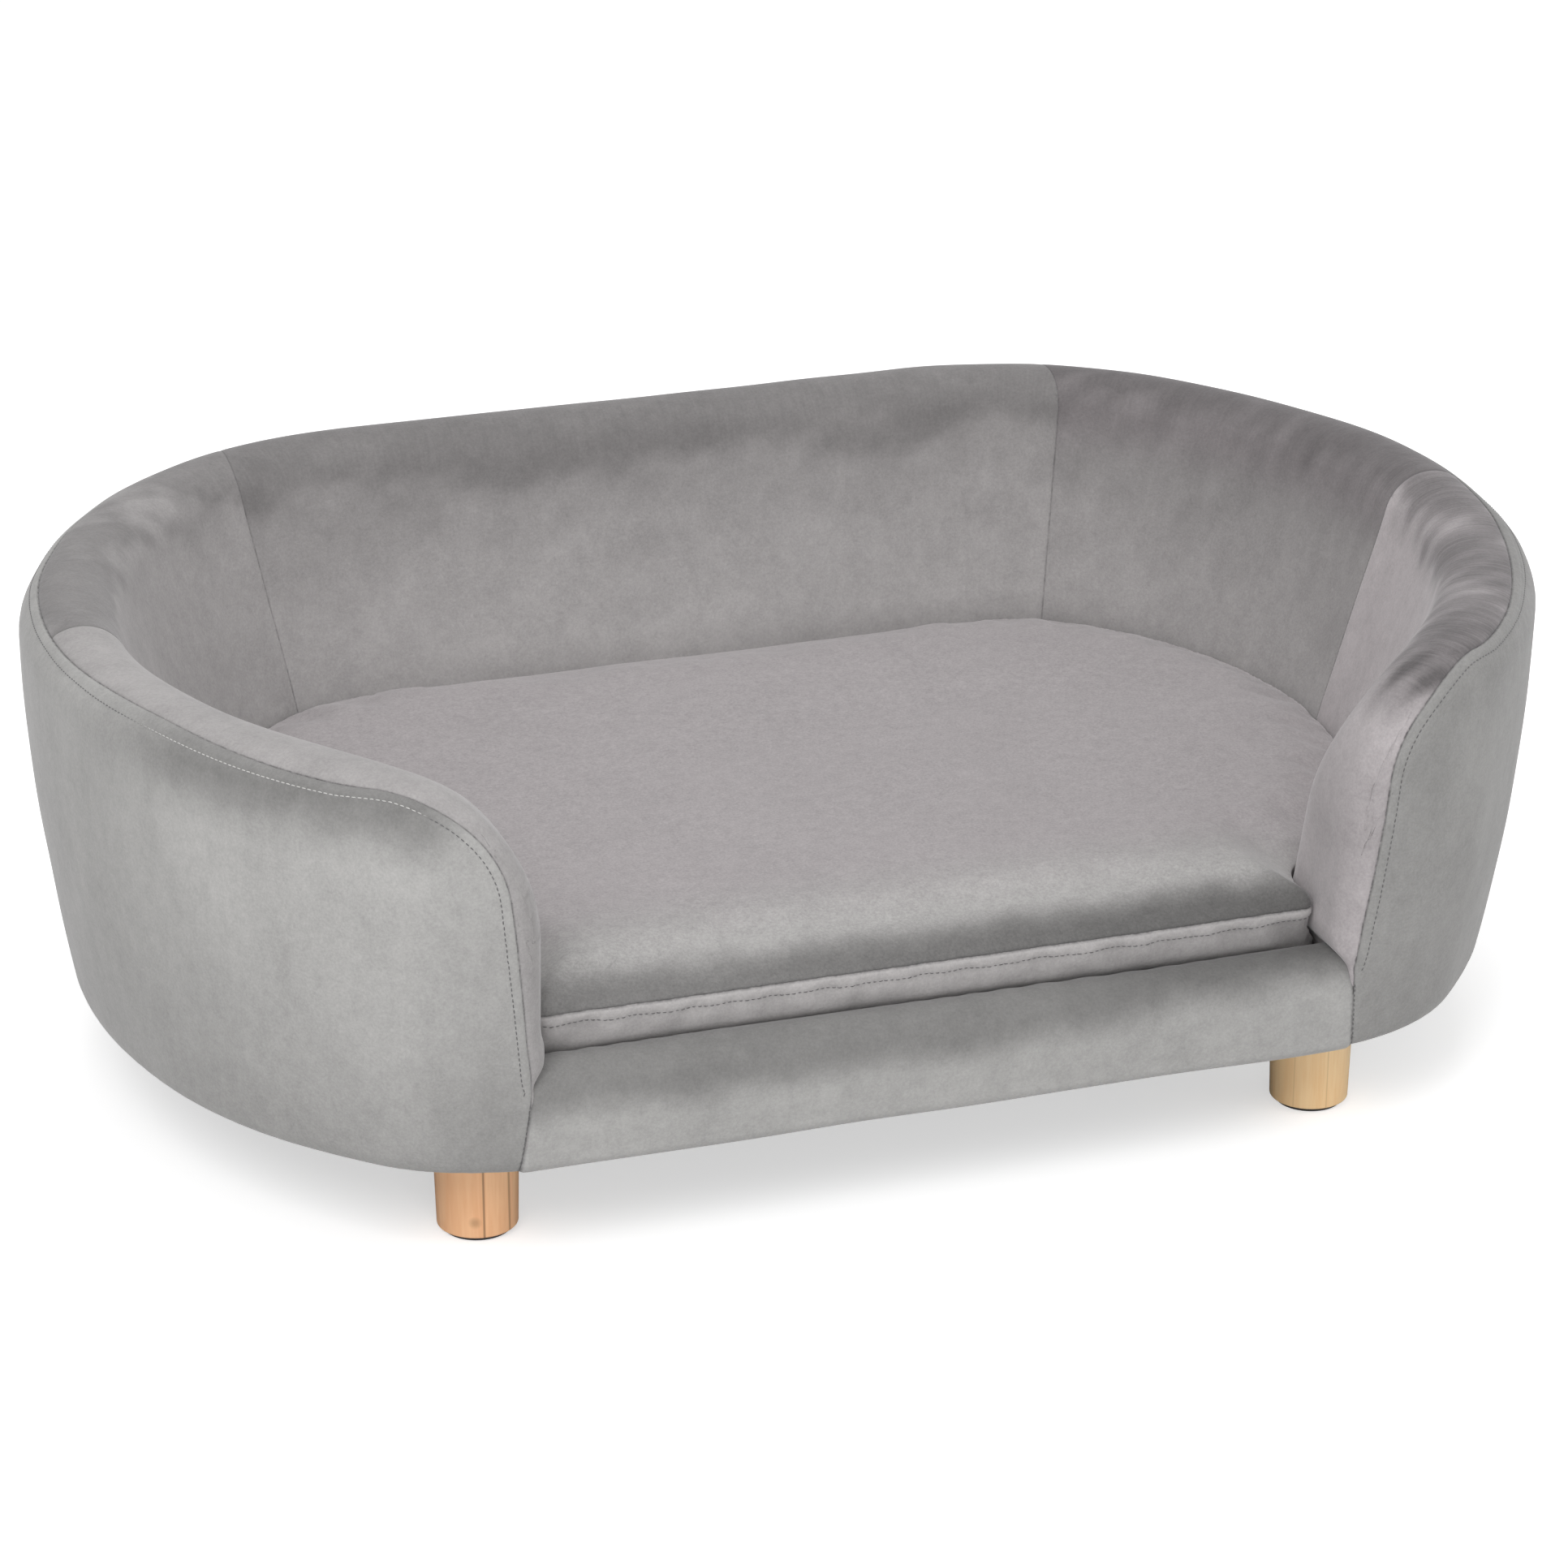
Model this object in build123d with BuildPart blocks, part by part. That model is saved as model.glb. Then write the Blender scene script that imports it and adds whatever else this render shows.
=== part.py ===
"""Oval dog sofa bed: upholstered tub on four turned legs, with a loose cushion.

Millimetres, X to the right, Y to the back, Z up. The origin is on the floor under the middle of the bed.
"""

from build123d import *
import math
import os

os.makedirs("parts", exist_ok=True)

# Overall size
sofa_length = 980.0
sofa_height = 330.0
leg_height = 66.0

# Plan outline of the rim. Each corner is a tight bend that opens into the wide curve of the side
back_flat = 200.0
back_bend = 250.0
back_turn = 46.0
front_flat = 257.0
front_bend = 160.0
front_turn = 45.0

# Wall section: rolled rim, outer face that draws in to the floor, sloping inner face
rim_radius = 32.0
wall_lean = 25.0
inner_slope = 17.0
foot_radius = 10.0

# Arms: the wall ends at the front in two rounded arms beside the way in
way_in = 508.0
arm_corner = 120.0
arm_blend = 8.0
arm_round = 24.0

# Front rail
rail_height = 136.0
rail_radius = 22.0

# Fabric and foam
cover = 1.2
dust_cloth = 0.8
deck_cloth_thickness = 0.8
outer_foam = 8.0
inner_foam = 22.0
end_foam = 25.0
hem_width = 30.0
dust_margin = 14.0

# Seams between the cover panels
seam_drop = 8.0
seam_return = 23.0
seam_lean = 25.0
seam_corner = 66.0
rail_seam = 266.0
back_seam = 281.0
arm_seam = 8.0
panel_split = 42.0

# Timber frame
base_thickness = 15.0
outer_ply = 4.0
inner_ply = 3.0
rib_thickness = 18.0
rib_below_rim = 48.0
stud_width = 18.0
post_width = 40.0
post_run = 95.0
rail_board_thickness = 18.0
rail_board_height = 36.0

# Legs, glides and leg fixings
leg_top = 53.0
leg_foot = 50.0
leg_edge = 1.5
leg_spread_x = 277.0
leg_spread_y = 243.0
glide_diameter = 43.0
glide_height = 3.0
bolt_diameter = 8.0
bolt_in_leg = 26.0
bolt_below_deck = 1.0
nut_flange = 22.0
nut_flange_thickness = 1.6
nut_barrel = 11.0
nut_barrel_length = 11.0

# Staples that hold the dust cover
staple_length = 10.0
staple_wire = 0.7
staple_edge = 7.0
staples_per_bend = 4
staples_per_flat = 4

# Loose cushion
cushion_seam = 159.0
cushion_crown = 22.0
crown_power = 8.0
crown_shares = (1.0, 0.993, 0.975, 0.94, 0.88, 0.78, 0.60)
cushion_draw_in = 8.0
cushion_ease = 0.6
tongue_lean = 14.0
tongue_root = 150.0
tongue_corner = 14.0

# Zip in the rear boxing of the cushion
zip_length = 370.0
zip_tape_width = 24.0
zip_height = 34.0
chain_width = 5.0
chain_proud = 1.2
slider_length = 12.0
slider_width = 9.0
slider_thickness = 2.4
slider_end = 8.0
pull_length = 16.0
pull_width = 5.0
pull_thickness = 0.9

# Clearances and one overrun for all cuts
fit_gap = 0.3
overrun = 20.0


# Heights that follow from the sizes above
rim_centre = sofa_height - rim_radius
hem_bottom = leg_height + dust_cloth
base_bottom = hem_bottom + cover
base_top = base_bottom + base_thickness
deck_top = base_top + deck_cloth_thickness
rib_top = sofa_height - rib_below_rim
rib_bottom = rib_top - rib_thickness
rail_centre = rail_height - rail_radius
half_way_in = way_in / 2

# The outer face is one arc that is upright at the rim and has drawn in by the lean at the foot
face_radius = ((rim_centre - leg_height) ** 2 + wall_lean ** 2) / (2 * wall_lean)


def wide_radius(flat, bend, turn):
    """Radius of the side curve that follows a bend and stands upright at the end of the bed."""
    sine = math.sin(math.radians(turn))
    return (sofa_length / 2 - flat - bend * sine) / (1 - sine)


def corner_depth(bend, wide, turn):
    """Distance along Y from the straight to the widest point of the bed."""
    cosine = math.cos(math.radians(turn))
    return bend * (1 - cosine) + wide * cosine


back_wide = wide_radius(back_flat, back_bend, back_turn)
front_wide = wide_radius(front_flat, front_bend, front_turn)
half_depth = (corner_depth(back_bend, back_wide, back_turn)
              + corner_depth(front_bend, front_wide, front_turn)) / 2


def bend_list():
    """Centre, radius, first angle and turn of the four bends of the right half, from front to back."""
    front_centre = Vector(front_flat, -half_depth + front_bend)
    back_centre = Vector(back_flat, half_depth - back_bend)
    front_way = Vector(1, 0).rotate(Axis.Z, front_turn - 90)
    back_way = Vector(1, 0).rotate(Axis.Z, 90 - back_turn)
    return (
        (front_centre, front_bend, -90, front_turn),
        (front_centre + front_way * (front_bend - front_wide), front_wide, front_turn - 90, 90 - front_turn),
        (back_centre + back_way * (back_bend - back_wide), back_wide, 0, 90 - back_turn),
        (back_centre, back_bend, 90 - back_turn, back_turn),
    )


bends = bend_list()


def outer_inset(height, depth=0.0):
    """Distance in from the rim outline to the outer face, or to the layer that lies depth under it."""
    return face_radius - math.sqrt((face_radius - depth) ** 2 - (height - rim_centre) ** 2)


def inner_inset(height, depth=0.0):
    """Distance in from the rim outline to the sloping inner face, or to the layer depth behind it."""
    slope = math.radians(inner_slope)
    roll = rim_radius - depth
    tangent_height = rim_centre + roll * math.sin(slope)
    return rim_radius + roll * math.cos(slope) + (tangent_height - height) * math.tan(slope)


def oval(inset):
    """Plan face of the bed, drawn in from the rim outline by the inset."""
    with BuildSketch() as plan:
        with BuildLine():
            Line((0, -half_depth + inset), (front_flat, -half_depth + inset))
            for centre, radius, start, turn in bends:
                CenterArc(centre, radius - inset, start, turn)
            Line((back_flat, half_depth - inset), (0, half_depth - inset))
            mirror(about=Plane.YZ)
        make_face()
    return plan.sketch


def section_plane(centre, radius, angle):
    """Upright plane across the wall: local X runs inwards from the rim outline, local Y is up."""
    outward = Vector(1, 0, 0).rotate(Axis.Z, angle)
    return Plane(origin=centre + outward * radius, x_dir=-outward, z_dir=outward.rotate(Axis.Z, 90))


def ring(section):
    """Carries a section of the wall right round the plan outline."""
    with BuildPart() as half:
        with BuildSketch(Plane(origin=(0, -half_depth, 0), x_dir=(0, 1, 0), z_dir=(1, 0, 0))):
            add(section)
        extrude(amount=front_flat)
        for centre, radius, start, turn in bends:
            with BuildSketch(section_plane(centre, radius, start)):
                add(section)
            revolve(axis=Axis(centre, (0, 0, 1)), revolution_arc=turn)
        with BuildSketch(Plane(origin=(0, half_depth, 0), x_dir=(0, -1, 0), z_dir=(-1, 0, 0))):
            add(section)
        extrude(amount=-back_flat)
        mirror(about=Plane.YZ)
    return half.part


def wall_section(depth):
    """Section of the padded wall, or of what lies depth under its surface."""
    bottom = hem_bottom + depth
    middle = (bottom + rim_centre) / 2
    with BuildSketch() as section:
        with BuildLine():
            ThreePointArc((outer_inset(bottom, depth), bottom), (outer_inset(middle, depth), middle),
                          (depth, rim_centre))
            roll = CenterArc((rim_radius, rim_centre), rim_radius - depth, 180, inner_slope - 180)
            inner = Line(roll @ 1, (inner_inset(bottom, depth), bottom))
            Line(inner @ 1, (outer_inset(bottom, depth), bottom))
        make_face()
    return section.sketch


def foot_section(depth):
    """What the rounded lower edge of the padding leaves off, outside and under a tangent circle."""
    bottom = hem_bottom + depth
    radius = foot_radius - depth
    centre = (outer_inset(bottom + radius, foot_radius), bottom + radius)
    with BuildSketch() as section:
        with Locations(centre):
            Rectangle(foot_radius + overrun, foot_radius + overrun, align=(Align.MAX, Align.MAX))
            Circle(radius, mode=Mode.SUBTRACT)
    return section.sketch


def rail_roll():
    """Centre of the roll on the front rail, tangent to the outer face, and its lean in degrees."""
    reach = face_radius - rail_radius
    lean = math.asin((rim_centre - rail_centre) / reach)
    return Vector(face_radius - reach * math.cos(lean), rail_centre), math.degrees(lean)


def rail_section(depth):
    """Section of the padded front rail, or of what lies depth under its surface."""
    centre, lean = rail_roll()
    bottom = hem_bottom + depth
    with BuildSketch() as section:
        with BuildLine():
            roll = CenterArc(centre, rail_radius - depth, 180 + lean, -180 - lean)
            start = roll @ 0
            middle = (bottom + start.Y) / 2
            ThreePointArc((outer_inset(bottom, depth), bottom), (outer_inset(middle, depth), middle), start)
            inner = Line(roll @ 1, ((roll @ 1).X, bottom))
            Line(inner @ 1, (outer_inset(bottom, depth), bottom))
        make_face()
    return section.sketch


def way_in_block(half_width, corner, top, lean=0.0):
    """The space between the arms, as a block that runs out through the front and narrows down by the lean."""
    above = sofa_height + overrun
    with BuildPart() as block:
        with BuildSketch(Plane.XZ):
            with BuildLine():
                Line((0, 0), (half_width - lean, 0))
                Line((half_width - lean, 0), (half_width, top - corner))
                RadiusArc((half_width, top - corner), (half_width + corner, top), corner)
                Line((half_width + corner, top), (half_width + corner, above))
                Line((half_width + corner, above), (0, above))
                mirror(about=Plane.YZ)
            make_face()
        extrude(amount=half_depth + overrun)
    return block.part


def arm_trim(depth):
    """Way-in block that trims the wall, or what lies depth under its surface."""
    return way_in_block(half_way_in + depth, arm_corner - depth, sofa_height + arm_blend - depth)


def is_arm_end(face):
    """True for the flat or rounded face that the way-in block leaves on an arm."""
    middle = face.center()
    in_reach = abs(middle.X) < half_way_in + arm_corner and middle.Y < -half_depth / 2
    across = abs(face.normal_at(middle).Y) < abs(face.normal_at(middle).X)
    return in_reach and across and face.geom_type in (GeomType.PLANE, GeomType.CYLINDER)


def padded_wall(depth):
    """The padded wall with its two rounded arm ends, or what lies depth under its surface."""
    with BuildPart() as wall:
        add(ring(wall_section(depth)))
        add(arm_trim(depth), mode=Mode.SUBTRACT)
        ends = wall.faces().filter_by(is_arm_end)
        shared = [edge for edge in ends.edges() if sum(edge.is_same(other) for other in ends.edges()) > 1]
        rims = [edge for edge in ends.edges()
                if not any(edge.is_same(other) for other in shared)
                and edge.bounding_box().max.Z > hem_bottom + foot_radius]
        fillet(rims, arm_round - depth)
        add(ring(foot_section(depth)), mode=Mode.SUBTRACT)
    return wall.part


def padded_rail(depth, half_length):
    """The padded front rail between the arms, or what lies depth under its surface."""
    with BuildPart() as rail:
        add(ring(rail_section(depth)))
        with BuildSketch(Plane.XZ):
            with Locations((0, rail_centre)):
                Rectangle(2 * half_length, 2 * rail_height)
        extrude(amount=half_depth + overrun, mode=Mode.INTERSECT)
        add(ring(foot_section(depth)), mode=Mode.SUBTRACT)
    return rail.part


def prism(inset, bottom, top):
    """Upright block inside the plan outline drawn in by the inset."""
    with BuildPart() as block:
        with BuildSketch(Plane.XY.offset(bottom)):
            add(oval(inset))
        extrude(amount=top - bottom)
    return block.part


def slab(bottom, top):
    """Level slab that covers the whole plan."""
    return prism(-overrun, bottom, top)


def write(piece, name):
    """Labels a finished piece and writes its STEP file."""
    piece.label = name
    export_step(piece, f"parts/{name}.step")


leg_places = {
    "front_left": (-leg_spread_x, -leg_spread_y),
    "front_right": (leg_spread_x, -leg_spread_y),
    "back_left": (-leg_spread_x, leg_spread_y),
    "back_right": (leg_spread_x, leg_spread_y),
}
leg_axes = list(leg_places.values())

# Base board, with a hole and a recess for each leg nut
frame_depth = cover + outer_foam
ply_depth = frame_depth + outer_ply
base_inset = outer_inset(base_bottom, ply_depth)
with BuildPart() as base_board:
    add(prism(base_inset, base_bottom, base_top))
    with Locations([(x, y, base_top) for x, y in leg_axes]):
        CounterBoreHole(nut_barrel / 2, nut_flange / 2, nut_flange_thickness)
write(base_board.part, "base_board")

# Nuts, bolts, legs and glides
with BuildPart() as tee_nuts:
    with BuildSketch(Plane.XY.offset(base_top - nut_flange_thickness)):
        with Locations(leg_axes):
            Circle(nut_flange / 2)
    extrude(amount=nut_flange_thickness)
    with BuildSketch(Plane.XY.offset(base_top - nut_flange_thickness)):
        with Locations(leg_axes):
            Circle(nut_barrel / 2)
    extrude(amount=-nut_barrel_length)
    with Locations([(x, y, base_top) for x, y in leg_axes]):
        Hole(bolt_diameter / 2)
write(tee_nuts.part, "tee_nuts")

bolt_bottom = leg_height - bolt_in_leg
bolt_top = base_top - bolt_below_deck
with BuildPart() as hanger_bolts:
    with BuildSketch(Plane.XY.offset(bolt_bottom)):
        with Locations(leg_axes):
            Circle(bolt_diameter / 2)
    extrude(amount=bolt_top - bolt_bottom)
    tips = hanger_bolts.edges().filter_by(GeomType.CIRCLE)
    chamfer(tips, bolt_diameter / 8)
write(hanger_bolts.part, "hanger_bolts")

for place, (x, y) in leg_places.items():
    with BuildPart() as leg:
        with BuildSketch(Plane.XZ.offset(-y)):
            with BuildLine():
                Polyline((x, glide_height), (x + leg_foot / 2, glide_height), (x + leg_top / 2, leg_height),
                         (x, leg_height), close=True)
            make_face()
        revolve(axis=Axis((x, y, 0), (0, 0, 1)))
        fillet(leg.edges().filter_by(GeomType.CIRCLE).sort_by(Axis.Z)[0], leg_edge)
        with Locations((x, y, leg_height)):
            Hole(bolt_diameter / 2, bolt_in_leg)
    write(leg.part, f"leg_{place}")
    with BuildPart() as glide:
        with BuildSketch():
            with Locations((x, y)):
                Circle(glide_diameter / 2)
        extrude(amount=glide_height)
        chamfer(glide.edges().sort_by(Axis.Z)[0], glide_height / 4)
    write(glide.part, f"glide_{place}")

# Thin boards bent round the outside and the inside of the wall
frame_trim = arm_trim(cover + end_foam)
middle = (base_bottom + rib_top) / 2
with BuildSketch() as outer_strip:
    with BuildLine():
        outside = ThreePointArc((outer_inset(base_bottom, frame_depth), base_bottom),
                                (outer_inset(middle, frame_depth), middle),
                                (outer_inset(rib_top, frame_depth), rib_top))
        inside = ThreePointArc((outer_inset(base_bottom, ply_depth), base_bottom),
                               (outer_inset(middle, ply_depth), middle),
                               (outer_inset(rib_top, ply_depth), rib_top))
        Line(outside @ 0, inside @ 0)
        Line(outside @ 1, inside @ 1)
    make_face()
with BuildPart() as outer_board:
    add(ring(outer_strip.sketch))
    add(frame_trim, mode=Mode.SUBTRACT)
write(outer_board.part, "outer_board")

inner_face_depth = cover + inner_foam
inner_back_depth = inner_face_depth + inner_ply
with BuildSketch() as inner_strip:
    with BuildLine():
        Polyline((inner_inset(base_top, inner_face_depth), base_top),
                 (inner_inset(rib_top, inner_face_depth), rib_top),
                 (inner_inset(rib_top, inner_back_depth), rib_top),
                 (inner_inset(base_top, inner_back_depth), base_top), close=True)
    make_face()
with BuildPart() as inner_board:
    add(ring(inner_strip.sketch))
    add(frame_trim, mode=Mode.SUBTRACT)
write(inner_board.part, "inner_board")

# Rib that ties the two boards together under the rim
with BuildPart() as top_rib:
    add(prism(outer_inset(rib_bottom, ply_depth), rib_bottom, rib_top))
    add(prism(inner_inset(rib_top, inner_back_depth), rib_bottom, rib_top), mode=Mode.SUBTRACT)
    add(frame_trim, mode=Mode.SUBTRACT)
write(top_rib.part, "top_rib")

# Uprights between base and rib: one at each side of the back, one in each curve round to the arms
with BuildSketch() as stud_shape:
    with BuildLine():
        Polyline((outer_inset(base_top, ply_depth) + fit_gap, base_top),
                 (outer_inset(rib_bottom, ply_depth) + fit_gap, rib_bottom),
                 (inner_inset(rib_bottom, inner_back_depth) - fit_gap, rib_bottom),
                 (inner_inset(base_top, inner_back_depth) - fit_gap, base_top), close=True)
    make_face()
with BuildPart() as wall_studs:
    for centre, radius, start, turn in bends[1:]:
        with BuildSketch(section_plane(centre, radius, start + turn / 2)):
            add(stud_shape.sketch)
        extrude(amount=stud_width / 2, both=True)
    with BuildSketch(Plane(origin=(back_flat / 3, half_depth, 0), x_dir=(0, -1, 0), z_dir=(-1, 0, 0))):
        add(stud_shape.sketch)
    extrude(amount=stud_width / 2, both=True)
    mirror(about=Plane.YZ)
write(wall_studs.part, "wall_studs")

# Posts that carry the arm ends, shaped to the hollow of the wall and to the drop of the arm
post_edge = half_way_in + cover + end_foam
wall_hollow = ring(stud_shape.sketch)
for name, side in (("left", -1), ("right", 1)):
    with BuildPart() as arm_post:
        add(wall_hollow)
        with BuildSketch():
            with Locations((side * (post_edge + post_width / 2), -half_depth + post_run / 2)):
                Rectangle(post_width, post_run)
        extrude(amount=sofa_height, mode=Mode.INTERSECT)
        add(frame_trim, mode=Mode.SUBTRACT)
    write(arm_post.part, f"arm_post_{name}")

# Board on edge inside the front rail
rail_axis = -half_depth + rail_roll()[0].X
rail_inner = rail_axis + rail_radius
with BuildPart() as rail_board:
    with BuildSketch(Plane.XY.offset(base_top)):
        with Locations((0, rail_axis)):
            Rectangle(2 * (post_edge - fit_gap), rail_board_thickness)
    extrude(amount=rail_board_height)
write(rail_board.part, "rail_board")

# Padding: what the covers enclose, less the space that the timber frame takes up
foam_wall = padded_wall(cover)
rail_reach = half_way_in + arm_round + cover
foam_rail = padded_rail(cover, rail_reach)
with BuildSketch() as frame_section:
    with BuildLine():
        outside = ThreePointArc((outer_inset(base_bottom, frame_depth), base_bottom),
                                (outer_inset(middle, frame_depth), middle),
                                (outer_inset(rib_top, frame_depth), rib_top))
        Polyline(outside @ 1, (inner_inset(rib_top, inner_face_depth), rib_top),
                 (inner_inset(base_top, inner_face_depth), base_top), (base_inset, base_top),
                 (base_inset, base_bottom), outside @ 0)
    make_face()
base_space = prism(base_inset, base_bottom, base_top)
with BuildPart() as frame_space:
    add(ring(frame_section.sketch))
    add(frame_trim, mode=Mode.SUBTRACT)
    add(base_space)
    add(rail_board.part)
with BuildPart() as wall_padding:
    add(foam_wall)
    add(frame_space.part, mode=Mode.SUBTRACT)
with BuildPart() as outer_foam_ring:
    add(wall_padding.part)
    add(prism(panel_split, 0, sofa_height), mode=Mode.SUBTRACT)
    add(slab(rib_top, sofa_height + overrun), mode=Mode.SUBTRACT)
    add(way_in_block(half_way_in + cover + end_foam, arm_corner - end_foam, rib_top), mode=Mode.SUBTRACT)
with BuildPart() as inner_foam_ring:
    add(wall_padding.part)
    add(outer_foam_ring.part, mode=Mode.SUBTRACT)

# The foam and the inner cover are made of five lengths: two arms, two corners and the back
half_length = sofa_length / 2 + overrun
panel_zones = {
    "left_arm": (-half_length, 0, -half_depth - overrun, -arm_seam),
    "left_corner": (-half_length, -back_seam, -arm_seam, half_depth + overrun),
    "back": (-back_seam, back_seam, -arm_seam, half_depth + overrun),
    "right_corner": (back_seam, half_length, -arm_seam, half_depth + overrun),
    "right_arm": (0, half_length, -half_depth - overrun, -arm_seam),
}


def in_zone(whole, zone):
    """The length of the foam or the cover that lies in a zone of the plan."""
    left, right, front, back = zone
    with BuildPart() as length:
        add(whole)
        with BuildSketch():
            with Locations(((left + right) / 2, (front + back) / 2)):
                Rectangle(right - left, back - front)
        extrude(amount=sofa_height + overrun, mode=Mode.INTERSECT)
    return length.part


for name, zone in panel_zones.items():
    write(in_zone(outer_foam_ring.part, zone), f"outer_padding_{name}")
    write(in_zone(inner_foam_ring.part, zone), f"inner_padding_{name}")
with BuildPart() as rail_padding:
    add(foam_rail)
    add(foam_wall, mode=Mode.SUBTRACT)
    add(base_space, mode=Mode.SUBTRACT)
    add(rail_board.part, mode=Mode.SUBTRACT)
write(rail_padding.part, "rail_padding")

# Covers: one skin over wall and rail, cut into panels along its seams
whole_rail = padded_rail(0, rail_reach)
with BuildPart() as skin:
    add(padded_wall(0))
    add(whole_rail)
    add(foam_wall, mode=Mode.SUBTRACT)
    add(foam_rail, mode=Mode.SUBTRACT)
    add(base_space, mode=Mode.SUBTRACT)
    add(prism(base_inset + hem_width, hem_bottom - overrun, deck_top), mode=Mode.SUBTRACT)
rail_zone = padded_rail(0, rail_seam)
with BuildPart() as inside_zone:
    add(prism(panel_split, base_bottom, sofa_height))
    add(slab(sofa_height - seam_drop, sofa_height + overrun))
    add(way_in_block(half_way_in + seam_return, seam_corner, sofa_height - seam_drop, seam_lean))
    add(slab(-overrun, base_bottom), mode=Mode.SUBTRACT)
    add(rail_zone, mode=Mode.SUBTRACT)
with BuildPart() as rail_cover:
    add(skin.part)
    add(rail_zone, mode=Mode.INTERSECT)
write(rail_cover.part, "rail_cover")
with BuildPart() as outer_cover:
    add(skin.part)
    add(rail_zone, mode=Mode.SUBTRACT)
    add(inside_zone.part, mode=Mode.SUBTRACT)
write(outer_cover.part, "outer_cover")
with BuildPart() as inner_cover:
    add(skin.part)
    add(inside_zone.part, mode=Mode.INTERSECT)
for name, zone in panel_zones.items():
    write(in_zone(inner_cover.part, zone), f"inner_cover_{name}")

# Cloth on the deck inside the tub, and the dust cover under the base
with BuildPart() as deck_cloth:
    add(prism(inner_inset(base_top), base_top, deck_top))
    with BuildSketch(Plane.XY.offset(base_top)):
        with Locations((0, (rail_inner - tongue_root) / 2)):
            Rectangle(way_in, -tongue_root - rail_inner)
    extrude(amount=deck_cloth_thickness)
write(deck_cloth.part, "deck_cloth")

dust_inset = outer_inset(leg_height) + dust_margin
with BuildPart() as dust_cover:
    add(prism(dust_inset, leg_height, hem_bottom))
    with Locations([(x, y, hem_bottom) for x, y in leg_axes]):
        Hole(bolt_diameter / 2)
write(dust_cover.part, "dust_cover")


def staple_places():
    """Plane under the edge of the dust cover for each staple, local X along the edge."""
    inset = dust_inset + staple_edge
    for centre, radius, start, turn in bends:
        for step in range(staples_per_bend):
            angle = start + turn * (step + 1 / 2) / staples_per_bend
            outward = Vector(1, 0, 0).rotate(Axis.Z, angle)
            spot = centre + outward * (radius - inset)
            yield Plane((spot.X, spot.Y, leg_height), x_dir=outward.rotate(Axis.Z, 90), z_dir=(0, 0, -1))
    for flat, y in ((front_flat, inset - half_depth), (back_flat, half_depth - inset)):
        for step in range(staples_per_flat):
            x = flat * (step + 1 / 2) / staples_per_flat
            yield Plane((x, y, leg_height), x_dir=(1, 0, 0), z_dir=(0, 0, -1))


with BuildPart() as hem_staples:
    for plane in staple_places():
        with BuildSketch(plane):
            Rectangle(staple_length, staple_wire)
        extrude(amount=staple_wire)
    mirror(about=Plane.YZ)
write(hem_staples.part, "hem_staples")

# Loose cushion: oval that follows the tub, with a tongue that fills the way in
cushion_bottom = deck_top + fit_gap
tongue_half = half_way_in - fit_gap - cushion_ease
tongue_angle = math.atan2(tongue_lean, cushion_seam - rail_centre)
tongue_front = -rail_axis - (rail_radius + fit_gap + cushion_ease) / math.cos(tongue_angle)


def cushion_plan(height, depth):
    """Plan face of the cushion at a height, or of what lies depth under its cover."""
    rise = (height - cushion_bottom) / (cushion_seam - cushion_bottom)
    over_rail = (height - rail_centre) / (cushion_seam - rail_centre)
    inset = inner_inset(height) + cushion_ease + cushion_draw_in * (1 - rise) + depth
    front = tongue_front + tongue_lean * over_rail - depth
    half_width = tongue_half - depth
    with BuildSketch() as plan:
        add(oval(inset))
        with Locations((0, -(front + tongue_root) / 2)):
            Rectangle(2 * half_width, front - tongue_root)
        corners = plan.vertices().group_by(Axis.Y)[0]
        fillet(corners, tongue_corner - depth)
    return plan.sketch


def cushion_block(depth):
    """The cushion below the seam of its top panel, or what lies depth under its cover."""
    with BuildPart() as block:
        for height in (cushion_bottom + depth, cushion_seam):
            with BuildSketch(Plane.XY.offset(height)):
                add(cushion_plan(height, depth))
        loft(ruled=True)
    return block.part


def cushion_dome(depth):
    """The crown above the seam, or what lies depth under its cover."""
    plan = cushion_plan(cushion_seam, depth)
    with BuildPart() as dome:
        for share in crown_shares:
            rise = (cushion_crown - depth) * math.sqrt(1 - share ** crown_power)
            with BuildSketch(Plane.XY.offset(cushion_seam + rise)):
                add(scale(plan, by=share, mode=Mode.PRIVATE))
        loft(ruled=True)
    return dome.part


with BuildPart() as cushion_core:
    add(cushion_block(cover))
    add(cushion_dome(cover))
write(cushion_core.part, "cushion_core")

with BuildPart() as cushion_top_panel:
    add(cushion_dome(0))
    add(cushion_dome(cover), mode=Mode.SUBTRACT)
write(cushion_top_panel.part, "cushion_top_panel")

with BuildPart() as cushion_base_panel:
    with BuildSketch(Plane.XY.offset(cushion_bottom)):
        add(cushion_plan(cushion_bottom, cover))
    extrude(amount=cover)
write(cushion_base_panel.part, "cushion_base_panel")

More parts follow.
